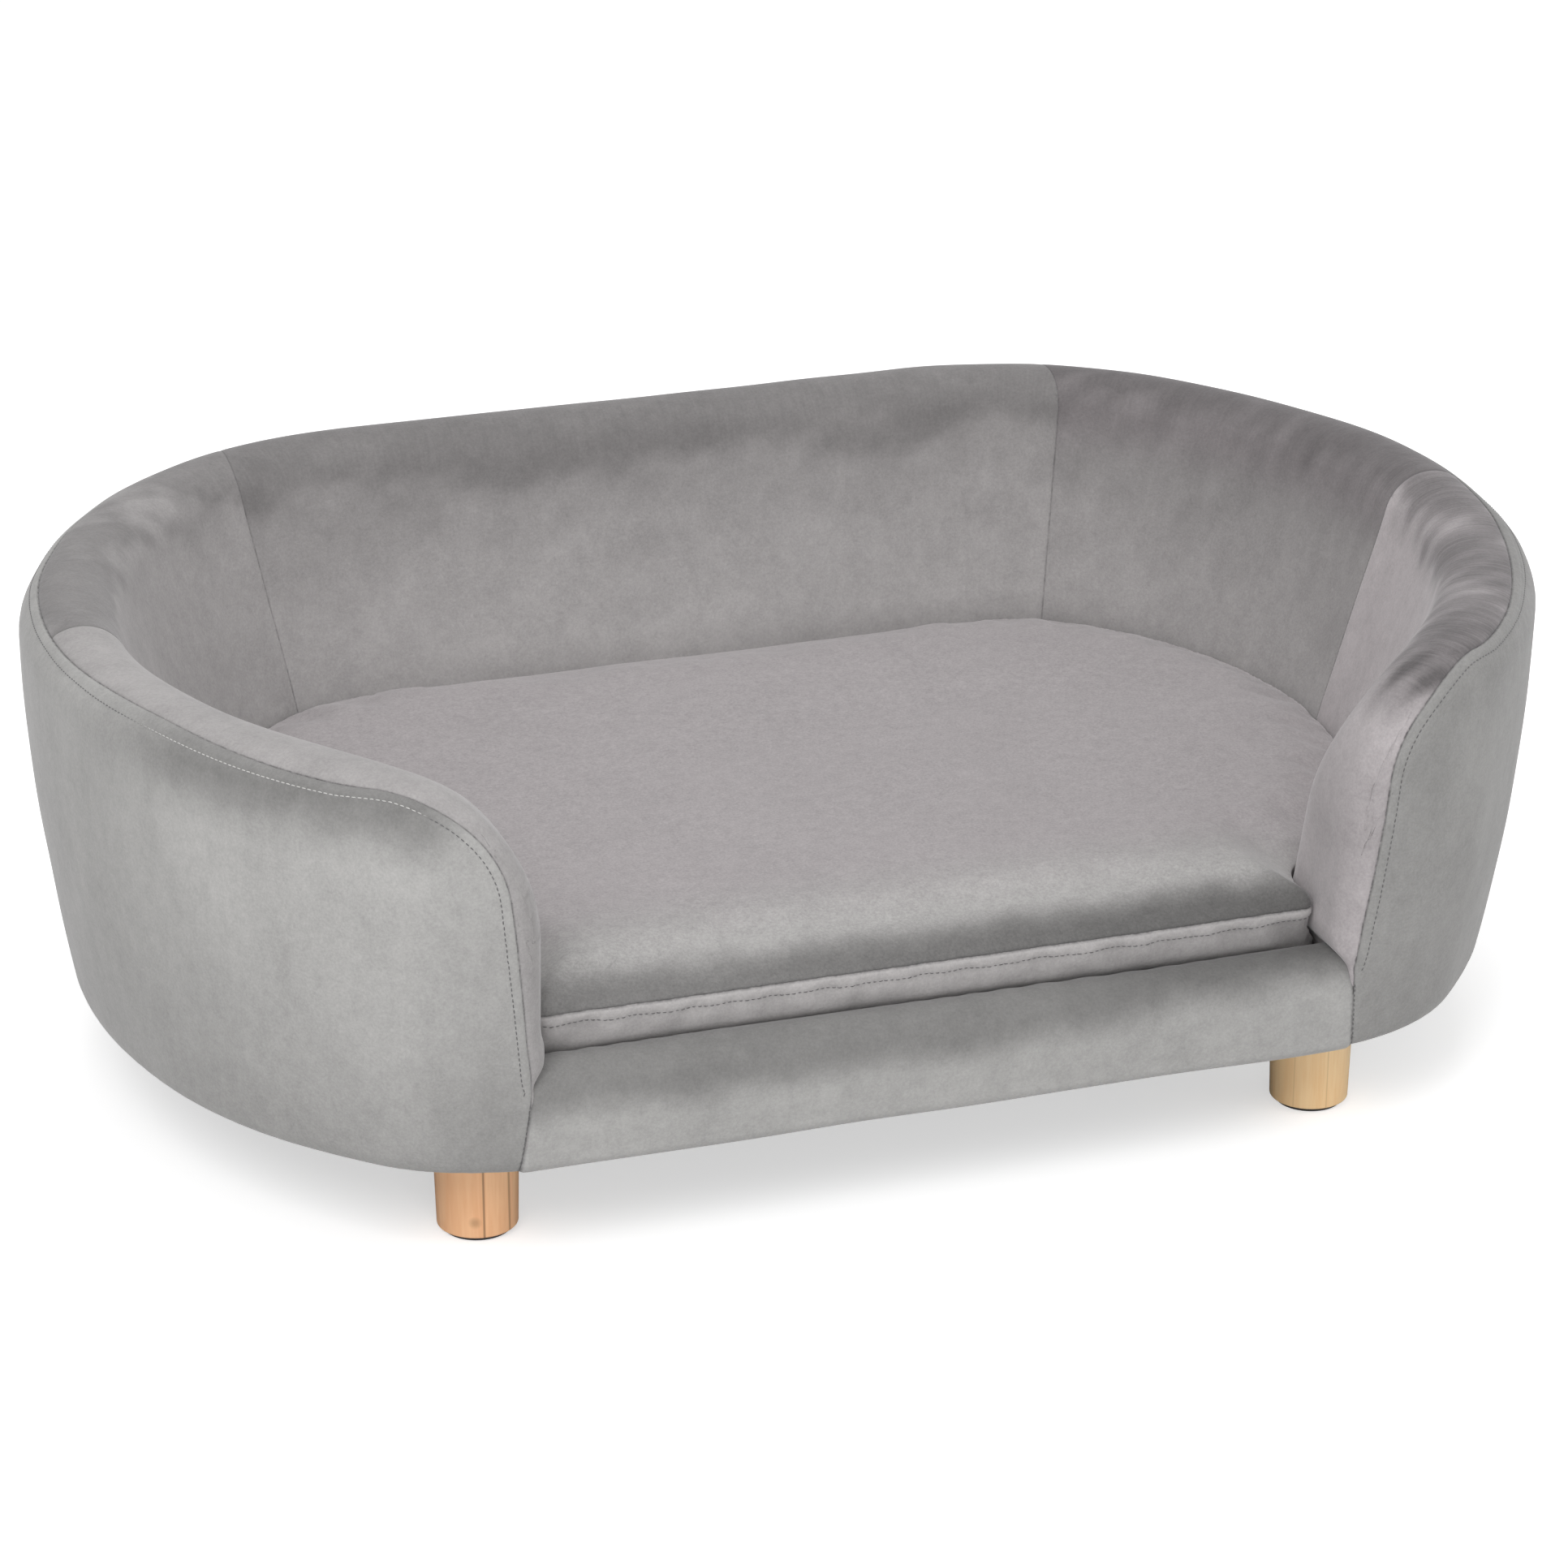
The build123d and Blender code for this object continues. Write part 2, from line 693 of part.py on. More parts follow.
# Zip: tape let into the rear boxing, chain down its middle, slider that runs along it
boxing_height = cushion_seam - cushion_bottom
boxing_run = inner_inset(cushion_bottom) + cushion_draw_in - inner_inset(cushion_seam)
boxing_lean = math.atan2(boxing_run, boxing_height)
boxing_rear = half_depth - inner_inset(cushion_bottom) - cushion_ease - cushion_draw_in
zip_plane = Plane(
    origin=(0, boxing_rear + zip_height * math.tan(boxing_lean), cushion_bottom + zip_height),
    x_dir=(1, 0, 0), z_dir=(0, math.cos(boxing_lean), -math.sin(boxing_lean)))
with BuildPart() as zip_window:
    with BuildSketch(zip_plane.offset(overrun)):
        Rectangle(zip_length, zip_tape_width)
    extrude(amount=-2 * overrun)
with BuildPart() as cushion_band:
    add(cushion_block(0))
    add(cushion_block(cover), mode=Mode.SUBTRACT)
    add(cushion_base_panel.part, mode=Mode.SUBTRACT)
with BuildPart() as cushion_boxing:
    add(cushion_band.part)
    add(zip_window.part, mode=Mode.SUBTRACT)
write(cushion_boxing.part, "cushion_boxing")
with BuildPart() as zip_tape:
    add(cushion_band.part)
    add(zip_window.part, mode=Mode.INTERSECT)
write(zip_tape.part, "zip_tape")
with BuildPart() as zip_chain:
    with BuildSketch(zip_plane):
        Rectangle(zip_length - 2 * slider_end, chain_width)
    extrude(amount=chain_proud)
write(zip_chain.part, "zip_chain")

slider_plane = zip_plane.shift_origin(
    zip_plane.origin + Vector((zip_length - slider_length) / 2 - slider_end, 0, 0))
with BuildPart() as zip_slider:
    with BuildSketch(slider_plane.offset(fit_gap)):
        RectangleRounded(slider_length, slider_width, slider_width / 4)
    extrude(amount=slider_thickness)
    with BuildSketch(slider_plane):
        Rectangle(slider_length, chain_width + 2 * fit_gap)
    extrude(amount=chain_proud + fit_gap, mode=Mode.SUBTRACT)
    with BuildSketch(slider_plane.offset(fit_gap + slider_thickness)):
        with Locations(((slider_length - pull_length) / 2 - slider_length / 4, 0)):
            SlotOverall(pull_length, pull_width)
    extrude(amount=pull_thickness)
write(zip_slider.part, "zip_slider")
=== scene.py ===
"""Looks of an oval dog sofa bed: velvet tub with sewn panels, loose cushion, pine legs. Metres, +Z up."""

import math

import bmesh
import bpy
import numpy as np
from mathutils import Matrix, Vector
from mathutils.bvhtree import BVHTree
from mathutils.kdtree import KDTree


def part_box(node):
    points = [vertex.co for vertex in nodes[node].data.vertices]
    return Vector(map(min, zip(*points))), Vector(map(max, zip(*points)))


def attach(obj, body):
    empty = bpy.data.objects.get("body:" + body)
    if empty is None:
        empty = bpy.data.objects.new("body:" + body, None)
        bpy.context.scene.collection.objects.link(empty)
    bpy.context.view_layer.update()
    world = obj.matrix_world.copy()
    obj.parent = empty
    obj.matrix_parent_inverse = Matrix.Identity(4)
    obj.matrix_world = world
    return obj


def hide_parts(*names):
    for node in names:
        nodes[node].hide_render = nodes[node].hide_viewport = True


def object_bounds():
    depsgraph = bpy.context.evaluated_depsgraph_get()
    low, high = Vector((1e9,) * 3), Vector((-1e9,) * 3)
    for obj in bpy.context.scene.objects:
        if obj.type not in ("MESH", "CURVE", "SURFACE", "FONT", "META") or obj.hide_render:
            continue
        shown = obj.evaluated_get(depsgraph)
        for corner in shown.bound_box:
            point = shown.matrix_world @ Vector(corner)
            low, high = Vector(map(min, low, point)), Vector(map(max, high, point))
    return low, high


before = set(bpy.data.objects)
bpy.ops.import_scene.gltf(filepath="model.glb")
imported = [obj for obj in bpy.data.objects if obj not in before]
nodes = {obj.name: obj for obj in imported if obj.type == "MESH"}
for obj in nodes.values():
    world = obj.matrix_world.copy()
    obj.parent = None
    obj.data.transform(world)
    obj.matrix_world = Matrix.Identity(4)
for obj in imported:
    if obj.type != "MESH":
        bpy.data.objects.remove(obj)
cad_low, cad_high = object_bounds()

MM = 0.001

# Plan outline of the rim: its size, and the straight part, first bend and turn of its back and its front
LENGTH = cad_high.x - cad_low.x
HALF_DEPTH = cad_high.y
HEIGHT = cad_high.z
BACK_FLAT, BACK_BEND, BACK_TURN = 200 * MM, 250 * MM, math.radians(46)
FRONT_FLAT, FRONT_BEND, FRONT_TURN = 257 * MM, 160 * MM, math.radians(45)

# Wall section
ROLL = 32 * MM
ROLL_Z = HEIGHT - ROLL
LEAN = 25 * MM
SLOPE_DEGREES = 17
SLOPE = math.radians(SLOPE_DEGREES)
FOOT_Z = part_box("outer_cover")[0].z
FOOT_ROUND = 10 * MM
LEG_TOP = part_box("leg_front_left")[1].z
FACE_RADIUS = ((ROLL_Z - LEG_TOP) ** 2 + LEAN ** 2) / (2 * LEAN)
DECK_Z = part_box("deck_cloth")[1].z

# Arms. The edge radius of their fronts is in mm: at the rail, and what is added above it
HALF_WAY = 254 * MM
ARM_CORNER = 120 * MM
ARM_TOP = HEIGHT + 8 * MM
ARM_EDGE, ARM_EDGE_ADDED = 5, 19
ARM_FADE_Y = -130 * MM

# Front rail
RAIL_ROLL = 22 * MM
RAIL_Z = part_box("rail_cover")[1].z - RAIL_ROLL
RAIL_REACH = FACE_RADIUS - RAIL_ROLL
RAIL_LEAN = math.asin((ROLL_Z - RAIL_Z) / RAIL_REACH)
RAIL_CENTRE = FACE_RADIUS - RAIL_REACH * math.cos(RAIL_LEAN)
RAIL_MEET_Z = 127 * MM

# Seams of the tub and the rows of stitches beside them
RIM_CORNER = 66 * MM
RIM_SEAM_INSET = 42 * MM
FRONT_SEAM_Y = -150 * MM
ARM_SEAM_Y = -8 * MM
HEM_Z = 74 * MM
ROW_GAP = 7 * MM
SHADE_WIDTH = 0.8 * MM
STITCH = 3.7 * MM
STITCH_SHARE = 0.74
STITCH_STEPS = 8
THREAD = 0.34 * MM


def wide_radius(flat, bend, turn):
    """Radius of the side curve that follows a bend and stands upright at the end of the bed."""
    sine = math.sin(turn)
    return (LENGTH / 2 - flat - bend * sine) / (1 - sine)


BACK_WIDE = wide_radius(BACK_FLAT, BACK_BEND, BACK_TURN)
FRONT_WIDE = wide_radius(FRONT_FLAT, FRONT_BEND, FRONT_TURN)


def plan_arcs():
    """Centre, radius, first angle and turn of the four bends of the right half, from front to back."""
    front = np.array((FRONT_FLAT, -HALF_DEPTH + FRONT_BEND))
    back = np.array((BACK_FLAT, HALF_DEPTH - BACK_BEND))
    front_angle = FRONT_TURN - math.pi / 2
    back_angle = math.pi / 2 - BACK_TURN
    front_way = np.array((math.cos(front_angle), math.sin(front_angle)))
    back_way = np.array((math.cos(back_angle), math.sin(back_angle)))
    return (
        (front, FRONT_BEND, -math.pi / 2, FRONT_TURN),
        (front + front_way * (FRONT_BEND - FRONT_WIDE), FRONT_WIDE, front_angle, -front_angle),
        (back + back_way * (BACK_BEND - BACK_WIDE), BACK_WIDE, 0.0, back_angle),
        (back, BACK_BEND, back_angle, BACK_TURN),
    )


ARCS = plan_arcs()
SPANS = [FRONT_FLAT] + [radius * turn for _, radius, _, turn in ARCS] + [BACK_FLAT]
HALF_RUN = sum(SPANS)


def plan_point(run):
    """Points and outward directions on the right half of the rim outline, run metres from the front."""
    run = np.asarray(run, float)
    point = np.zeros(run.shape + (2,))
    out = np.zeros(run.shape + (2,))
    start = 0.0
    for index, span in enumerate(SPANS):
        last = index == len(SPANS) - 1
        here = (run >= start) & ((run <= start + span) | last)
        along = run[here] - start
        if index == 0:
            point[here] = np.stack((along, np.full_like(along, -HALF_DEPTH)), -1)
            out[here] = (0, -1)
        elif last:
            point[here] = np.stack((BACK_FLAT - along, np.full_like(along, HALF_DEPTH)), -1)
            out[here] = (0, 1)
        else:
            centre, radius, first, _ = ARCS[index - 1]
            angle = first + along / radius
            way = np.stack((np.cos(angle), np.sin(angle)), -1)
            point[here] = centre + way * radius
            out[here] = way
        start += span
    return point, out


def on_arc(x, y, centre, first, turn):
    """Angle of each point round the centre of an arc, and whether it lies within the arc's turn."""
    angle = np.arctan2(y - centre[1], x - centre[0])
    return angle, (angle >= first - 1e-6) & (angle <= first + turn + 1e-6)


def inset_of(x, y):
    """Distance in from the rim outline, in plan. Both halves are alike."""
    x = np.abs(x)
    best = np.full(x.shape, np.inf)
    for flat, side in ((FRONT_FLAT, -1), (BACK_FLAT, 1)):
        best = np.where(x <= flat, np.minimum(best, HALF_DEPTH - side * y), best)
    for centre, radius, first, turn in ARCS:
        _, near = on_arc(x, y, centre, first, turn)
        best = np.where(near, np.minimum(best, radius - np.hypot(x - centre[0], y - centre[1])), best)
    return np.where(np.isinf(best), 0.2, best)


def run_of(x, y):
    """Distance along the rim outline from the middle of the front. Both halves are alike."""
    x = np.abs(x)
    run = np.where(y < 0, x, HALF_RUN - x)
    straight = (y < 0) & (x <= FRONT_FLAT) | (y > 0) & (x <= BACK_FLAT)
    start = SPANS[0]
    for centre, radius, first, turn in ARCS:
        angle, near = on_arc(x, y, centre, first, turn)
        run = np.where(near & ~straight, start + (angle - first) * radius, run)
        start += radius * turn
    return run


def smooth_step(low, high, value):
    """0 below low, 1 above high, smooth between."""
    share = np.clip((value - low) / (high - low), 0, 1)
    return share * share * (3 - 2 * share)


def bell(value, width):
    """1 at zero, falling smoothly to nearly nothing at two widths on either side."""
    return np.exp(-(value / width) ** 2)


def through(value, *pairs):
    """Follows a value through the given (value, result) pairs."""
    places, results = zip(*pairs)
    return np.interp(value, places, results)


def round_max(first, second, radius):
    """Intersection of two distance fields whose shared edge has the given radius."""
    a, b = first + radius, second + radius
    return np.hypot(np.maximum(a, 0), np.maximum(b, 0)) + np.minimum(np.maximum(a, b), 0) - radius


def way_edge(z):
    """Half width between the arms at a height: upright, drawn in where the arm meets the rail."""
    tuck = 8 * MM * (1 - smooth_step(126 * MM, 141 * MM, z))
    return HALF_WAY + tuck - 2 * MM * bell(z - 148 * MM, 8 * MM)


def outer_face(z):
    """Distance in from the rim outline to the curved outer face at a height."""
    return FACE_RADIUS - math.sqrt(FACE_RADIUS ** 2 - (z - ROLL_Z) ** 2)


def inner_face(z):
    """Distance in from the rim outline to the sloping inner face at a height."""
    return ROLL + ROLL * math.cos(SLOPE) + (ROLL_Z + ROLL * math.sin(SLOPE) - z) * math.tan(SLOPE)


def wall_field(s, z):
    """Distance to the section of the padded wall. s is the distance in from the rim outline."""
    ds, dz = s - ROLL, z - ROLL_Z
    on_roll = np.hypot(ds, dz) - ROLL
    outer = np.hypot(s - FACE_RADIUS, dz) - FACE_RADIUS
    inner = ds * math.cos(SLOPE) + dz * math.sin(SLOPE) - ROLL
    sector = (dz >= 0) & (math.cos(SLOPE) * dz - math.sin(SLOPE) * ds >= 0)
    lower = np.maximum(np.where(dz < 0, outer, -1.0), inner)
    body = np.where(sector, on_roll, np.where((dz >= 0) & (ds < 0), on_roll, lower))
    return round_max(body, FOOT_Z - z, FOOT_ROUND)


def tub_field(p):
    """Distance to the padded tub, without the rail. The arms' own outline fades out behind their fronts."""
    x, y, z = p[:, 0], p[:, 1], p[:, 2]
    wall = wall_field(inset_of(x, y), z)
    arm = round_max(way_edge(z) - np.abs(x), z - ARM_TOP, ARM_CORNER)
    radius = (ARM_EDGE + ARM_EDGE_ADDED * smooth_step(118 * MM, 155 * MM, z)) * MM
    return wall + (round_max(wall, arm, radius) - wall) * (1 - smooth_step(ARM_FADE_Y, 0.0, y))


def rail_field(p):
    """Distance to the padded front rail."""
    s, z = inset_of(p[:, 0], p[:, 1]), p[:, 2]
    ds, dz = s - RAIL_CENTRE, z - RAIL_Z
    outer = np.hypot(s - FACE_RADIUS, z - ROLL_Z) - FACE_RADIUS
    on_roll = np.hypot(ds, dz) - RAIL_ROLL
    in_front = dz * math.cos(RAIL_LEAN) - ds * math.sin(RAIL_LEAN) >= 0
    above = (dz >= 0) & (in_front | (ds >= 0))
    return round_max(np.where(above, on_roll, np.maximum(outer, ds - RAIL_ROLL)), FOOT_Z - z, FOOT_ROUND)


def change_of(field, p, step):
    """Change of a field over two steps along each axis, at each point."""
    return np.stack([field(p + d) - field(p - d) for d in np.eye(3) * step], -1)


def slope_of(field, p, step=0.2 * MM):
    """Unit gradient of a distance field at each point."""
    grad = change_of(field, p, step)
    return grad / np.maximum(np.linalg.norm(grad, axis=1, keepdims=True), 1e-9)


def settle(field, p, rounds=4):
    """Moves points along the gradient onto the zero surface of a distance field."""
    for _ in range(rounds):
        p = p - slope_of(field, p) * field(p)[:, None]
    return p


def settle_steep(field, p, rounds=8, step=0.3 * MM):
    """Like settle, for a level function whose slope isn't one."""
    for _ in range(rounds):
        grad = change_of(field, p, step) / (2 * step)
        size = np.maximum((grad ** 2).sum(1), 0.2)
        move = grad * (field(p) / size)[:, None]
        length = np.linalg.norm(move, axis=1, keepdims=True)
        p = p - move * np.minimum(1, 2.5 * MM / np.maximum(length, 1e-9))
    return p


def bisected(low, high, kept):
    """Halves the way between two bounds thirty times. The low one moves up where the middle is kept."""
    for _ in range(30):
        middle = (low + high) / 2
        keep = kept(middle)
        low, high = np.where(keep, middle, low), np.where(keep, high, middle)
    return low


# Meshes


def coords(mesh):
    """The vertices of a mesh as an array."""
    p = np.zeros(len(mesh.vertices) * 3)
    mesh.vertices.foreach_get("co", p)
    return p.reshape(-1, 3)


def put_coords(mesh, p):
    """Writes an array back to the vertices."""
    mesh.vertices.foreach_set("co", np.asarray(p, np.float32).ravel())
    mesh.update()


def write_layers(mesh, **layers):
    """Stores numbers per vertex for the materials, one layer per name."""
    for name, values in layers.items():
        layer = mesh.attributes.new(name, "FLOAT", "POINT")
        layer.data.foreach_set("value", np.asarray(values, np.float32))


def new_object(name, data):
    """Links a new object for a mesh, camera or lamp."""
    made = bpy.data.objects.new(name, data)
    bpy.context.scene.collection.objects.link(made)
    return made


def from_pydata(name, points, faces):
    """Mesh from points and faces."""
    mesh = bpy.data.meshes.new(name)
    mesh.from_pydata([tuple(map(float, v)) for v in points], [], [tuple(map(int, f)) for f in faces])
    mesh.update()
    return mesh


def smooth_object(name, mesh):
    """Object of a mesh with smooth shading."""
    for polygon in mesh.polygons:
        polygon.use_smooth = True
    return new_object(name, mesh)


def tube_faces(base, rings, sides):
    """Faces of a tube with closed ends. Its points are numbered ring after ring, from base."""
    faces = []
    for ring in range(rings - 1):
        here, above = base + ring * sides, base + (ring + 1) * sides
        for side in range(sides):
            after = (side + 1) % sides
            faces.append((here + side, here + after, above + after, above + side))
    last = base + (rings - 1) * sides
    return faces + [tuple(range(base, base + sides))[::-1], tuple(range(last, last + sides))]


def baked(made):
    """Applies every modifier of an object."""
    graph = bpy.context.evaluated_depsgraph_get()
    mesh = bpy.data.meshes.new_from_object(made.evaluated_get(graph))
    made.modifiers.clear()
    old = made.data
    made.data = mesh
    bpy.data.meshes.remove(old)
    return made


def remeshed(made, size):
    """Replaces a closed mesh with an even voxel mesh."""
    modifier = made.modifiers.new("even", "REMESH")
    modifier.mode = "VOXEL"
    modifier.voxel_size = size
    return baked(made)


def subdivided_near(mesh, level, reach, width):
    """Halves the faces near a seam twice, so that its groove has enough points."""
    for widest in (1.5 * width, width):
        bm = bmesh.new()
        bm.from_mesh(mesh)
        p = coords(mesh)
        near = (np.abs(level(p)) < widest) & reach(p)
        edges = [e for e in bm.edges if near[e.verts[0].index] and near[e.verts[1].index]]
        bmesh.ops.subdivide_edges(bm, edges=edges, cuts=1, use_grid_fill=True)
        bm.to_mesh(mesh)
        bm.free()


def cut_along(mesh, level, reach):
    """Cuts a mesh exactly along the zero line of a level function, where reach allows it."""
    bm = bmesh.new()
    bm.from_mesh(mesh)
    p = coords(mesh)
    value = level(p)
    allowed = reach(p)
    least = 0.05 * MM
    value = np.where(np.abs(value) < least, least * np.where(value < 0, -1, 1), value)
    new_verts = set()
    for edge in list(bm.edges):
        a, b = edge.verts
        if not (allowed[a.index] and allowed[b.index]):
            continue
        va, vb = value[a.index], value[b.index]
        if va * vb < 0:
            share = min(max(va / (va - vb), 0.04), 0.96)
            _, made = bmesh.utils.edge_split(edge, a, share)
            new_verts.add(made)
    for face in list({f for v in new_verts for f in v.link_faces}):
        ends = [v for v in face.verts if v in new_verts]
        if len(ends) == 2:
            try:
                bmesh.utils.face_split(face, ends[0], ends[1])
            except ValueError:
                pass
    bm.to_mesh(mesh)
    bm.free()


def split_up(mesh, ids, names):
    """One smooth object per name, which holds the faces whose id is the name's place in the list."""
    made = {}
    for index, name in enumerate(names):
        bm = bmesh.new()
        bm.from_mesh(mesh)
        bm.faces.ensure_lookup_table()
        bmesh.ops.delete(bm, geom=[f for f in bm.faces if ids[f.index] != index], context="FACES")
        part = bpy.data.meshes.new(name + "_cloth")
        bm.to_mesh(part)
        bm.free()
        made[name] = smooth_object(name + "_cloth", part)
    return made


def borders(mesh, ids):
    """Where faces of two ids meet: for each such edge four points along it, and its two ids."""
    owners = {}
    for polygon in mesh.polygons:
        for key in polygon.edge_keys:
            owners.setdefault(key, []).append(ids[polygon.index])
    p = coords(mesh)
    return [([p[a] + (p[b] - p[a]) * share for share in (0, 0.25, 0.5, 0.75)], pair)
            for (a, b), pair in owners.items() if len(pair) == 2 and pair[0] != pair[1]]


def tree_of(points):
    """Search tree of points."""
    tree = KDTree(len(points))
    for index, point in enumerate(points):
        tree.insert(point, index)
    tree.balance()
    return tree


def near_distance(points, seeds):
    """Distance from each point to the nearest seed."""
    tree = tree_of(seeds)
    return np.array([tree.find(point)[2] for point in points])


# Tub and its panels


def both_sides(line, mirror=(-1, 1, 1)):
    """A line of the right half and its mirror image, joined at the back."""
    return np.concatenate((line * mirror, line[-2::-1]))


def section_rows():
    """Closed section loop of the wall as (inset, height), outer foot first, over the rim, to the deck."""
    outer = [(outer_face(z), z) for z in np.linspace(FOOT_Z, ROLL_Z, 25)]
    turn = np.radians(np.linspace(0, 180 - SLOPE_DEGREES, 15))[1:]
    roll = [(ROLL - ROLL * math.cos(a), ROLL_Z + ROLL * math.sin(a)) for a in turn]
    top_s, top_z = roll[-1]
    inner = [(top_s + (top_z - z) * math.tan(SLOPE), z) for z in np.linspace(top_z, FOOT_Z, 25)[1:]]
    return np.array(outer + roll + inner)


def tub_blank():
    """Coarse closed mesh of the tub, which only has to lie near the field's surface."""
    columns = 121
    fine = np.linspace(0, HALF_RUN, 1500)
    spot, out = plan_point(fine)
    rising = fine < FRONT_FLAT + 0.4
    points = []
    for s, z in section_rows():
        x_here = spot[:, 0] - out[:, 0] * s
        edge = ARM_CORNER - math.sqrt(max(ARM_CORNER ** 2 - max(z - ARM_TOP + ARM_CORNER, 0) ** 2, 0))
        start = np.interp(HALF_WAY + edge, x_here[rising], fine[rising])
        p, o = plan_point(start + (HALF_RUN - start) * np.linspace(0, 1, columns))
        line = both_sides(p - o * s, (-1, 1))
        points.append(np.column_stack((line, np.full(len(line), z))))
    grid = np.array(points)
    count_r, count_c = grid.shape[:2]

    def at(r, c):
        """Number of a point, with the rows closed to a loop."""
        return (r % count_r) * count_c + c

    faces = [(at(r, c), at(r + 1, c), at(r + 1, c + 1), at(r, c + 1))
             for r in range(count_r) for c in range(count_c - 1)]
    first, last = [tuple(at(r, c) for r in range(count_r)) for c in (0, count_c - 1)]
    return from_pydata("tub_blank", grid.reshape(-1, 3), faces + [first[::-1], last])


def seam_height(y):
    """Height of the seam under the rim: it drops a little towards the arms."""
    return (324 - 4 * (1 - smooth_step(-300 * MM, FRONT_SEAM_Y, y))) * MM


def seam_half(z):
    """Half width of the front seams at a height: least where the rail meets the arms."""
    return 264 * MM + 0.104 * np.abs(z - RAIL_MEET_Z)


def outer_side(p):
    """Level function of the rim seam: above zero on the inner panels, below it on the outer panel."""
    x, y, z = p[:, 0], p[:, 1], p[:, 2]
    top = seam_height(y)
    front = round_max(seam_half(z) - np.abs(x), z - top, RIM_CORNER)
    rim = np.where(y < FRONT_SEAM_Y, front, z - top)
    return np.maximum(rim, inset_of(x, y) - RIM_SEAM_INSET)


def above_hem(p):
    """Keeps the rim seam's cut off the underside."""
    return p[:, 2] > HEM_Z


def back_side(p):
    """Level function of the two seams at the sides of the back panel, which open a little upwards."""
    return np.abs(p[:, 0]) - (270 * MM + 0.17 * (p[:, 2] - 160 * MM))


def back_reach(p):
    """The back seams lie on the inner panels, behind the middle."""
    return (p[:, 1] > 100 * MM) & (outer_side(p) > -1 * MM)


def arm_side(p):
    """Level function of the seams between the arm and the corner panels."""
    return p[:, 1] - ARM_SEAM_Y


def arm_reach(p):
    """The arm seams lie on the inner panels, at both ends of the bed."""
    return (np.abs(p[:, 0]) > 300 * MM) & (outer_side(p) > -1 * MM)


CUTS = ((outer_side, above_hem), (back_side, back_reach), (arm_side, arm_reach))
PANELS = ("outer_cover", "inner_cover_left_arm", "inner_cover_left_corner", "inner_cover_back",
          "inner_cover_right_corner", "inner_cover_right_arm")
OUTER, LEFT_ARM, LEFT_CORNER, BACK, _, RIGHT_ARM = range(len(PANELS))
NO_PANEL = len(PANELS)


def panel_ids(p):
    """Panel of each point on the tub: a place in PANELS, or NO_PANEL for what is left out."""
    x, y, z = p[:, 0], p[:, 1], p[:, 2]
    s = inset_of(x, y)
    inner = np.where(y < ARM_SEAM_Y, LEFT_ARM, np.where(back_side(p) < 0, BACK, LEFT_CORNER))
    inner = np.where((x > 0) & (inner != BACK), 2 * BACK - inner, inner)
    found = np.where(outer_side(p) > 0, inner, OUTER)
    found = np.where((z < HEM_Z) & (s < 60 * MM), OUTER, found)
    under = (z < FOOT_Z + 0.5 * MM) & (s > 57 * MM) | (z < DECK_Z - 1 * MM) & (s > 60 * MM)
    behind_rail = (np.abs(x) < 265.5 * MM) & (z < 112 * MM) & (y < -250 * MM)
    return np.where(under | behind_rail, NO_PANEL, found)


def waves(p, seed, scales):
    """Sum of random plane waves, four for each (wavelength, height) pair."""
    rng = np.random.default_rng(seed)
    total = np.zeros(len(p))
    for length, height in scales:
        for _ in range(4):
            way = rng.normal(size=3)
            way /= np.linalg.norm(way)
            total += height * np.sin(p @ way * (2 * math.pi / length) + rng.uniform(0, 2 * math.pi)) / 2
    return total


def hand_waves(p, seed):
    """Slow unevenness of padding laid by hand, about one millimetre."""
    return waves(p, seed, ((340 * MM, 0.7 * MM), (170 * MM, 0.45 * MM), (75 * MM, 0.22 * MM)))


def ragged(p, seed):
    """Uneven edge of a brushed patch, in millimetres: tongues two or three centimetres wide."""
    return waves(p, seed, ((90 * MM, 2.6), (42 * MM, 2.4), (21 * MM, 1.8)))


def arm_wrinkles(p):
    """Short gathered wrinkles where the right arm's roll meets its seam."""
    x, y = p[:, 0] / MM - 334, p[:, 1] / MM + 308
    along, inward = x * 0.843 + y * 0.537, y * 0.843 - x * 0.537
    reach = bell(along, 9) * smooth_step(-0.5, 2.5, inward) * (1 - smooth_step(9, 26, inward))
    folds = np.sin(along * 2 * math.pi / 4.6 + 0.11 * inward)
    return 0.7 * MM * reach * folds * (outer_side(p) > 0) * (p[:, 2] > 0.3)


def rim_painted_streaks(p):
    """Where painted streaks of light and shade in the brushed pile run over the roll of the rim: most on the
    right arm.
    """
    rim = smooth_step(285, 318, p[:, 2] / MM) * (outer_side(p) > 0)
    right = smooth_step(0.2, 0.36, p[:, 0]) * (1 - smooth_step(-0.02, 0.06, p[:, 1]))
    return rim * (0.25 + 0.75 * right)


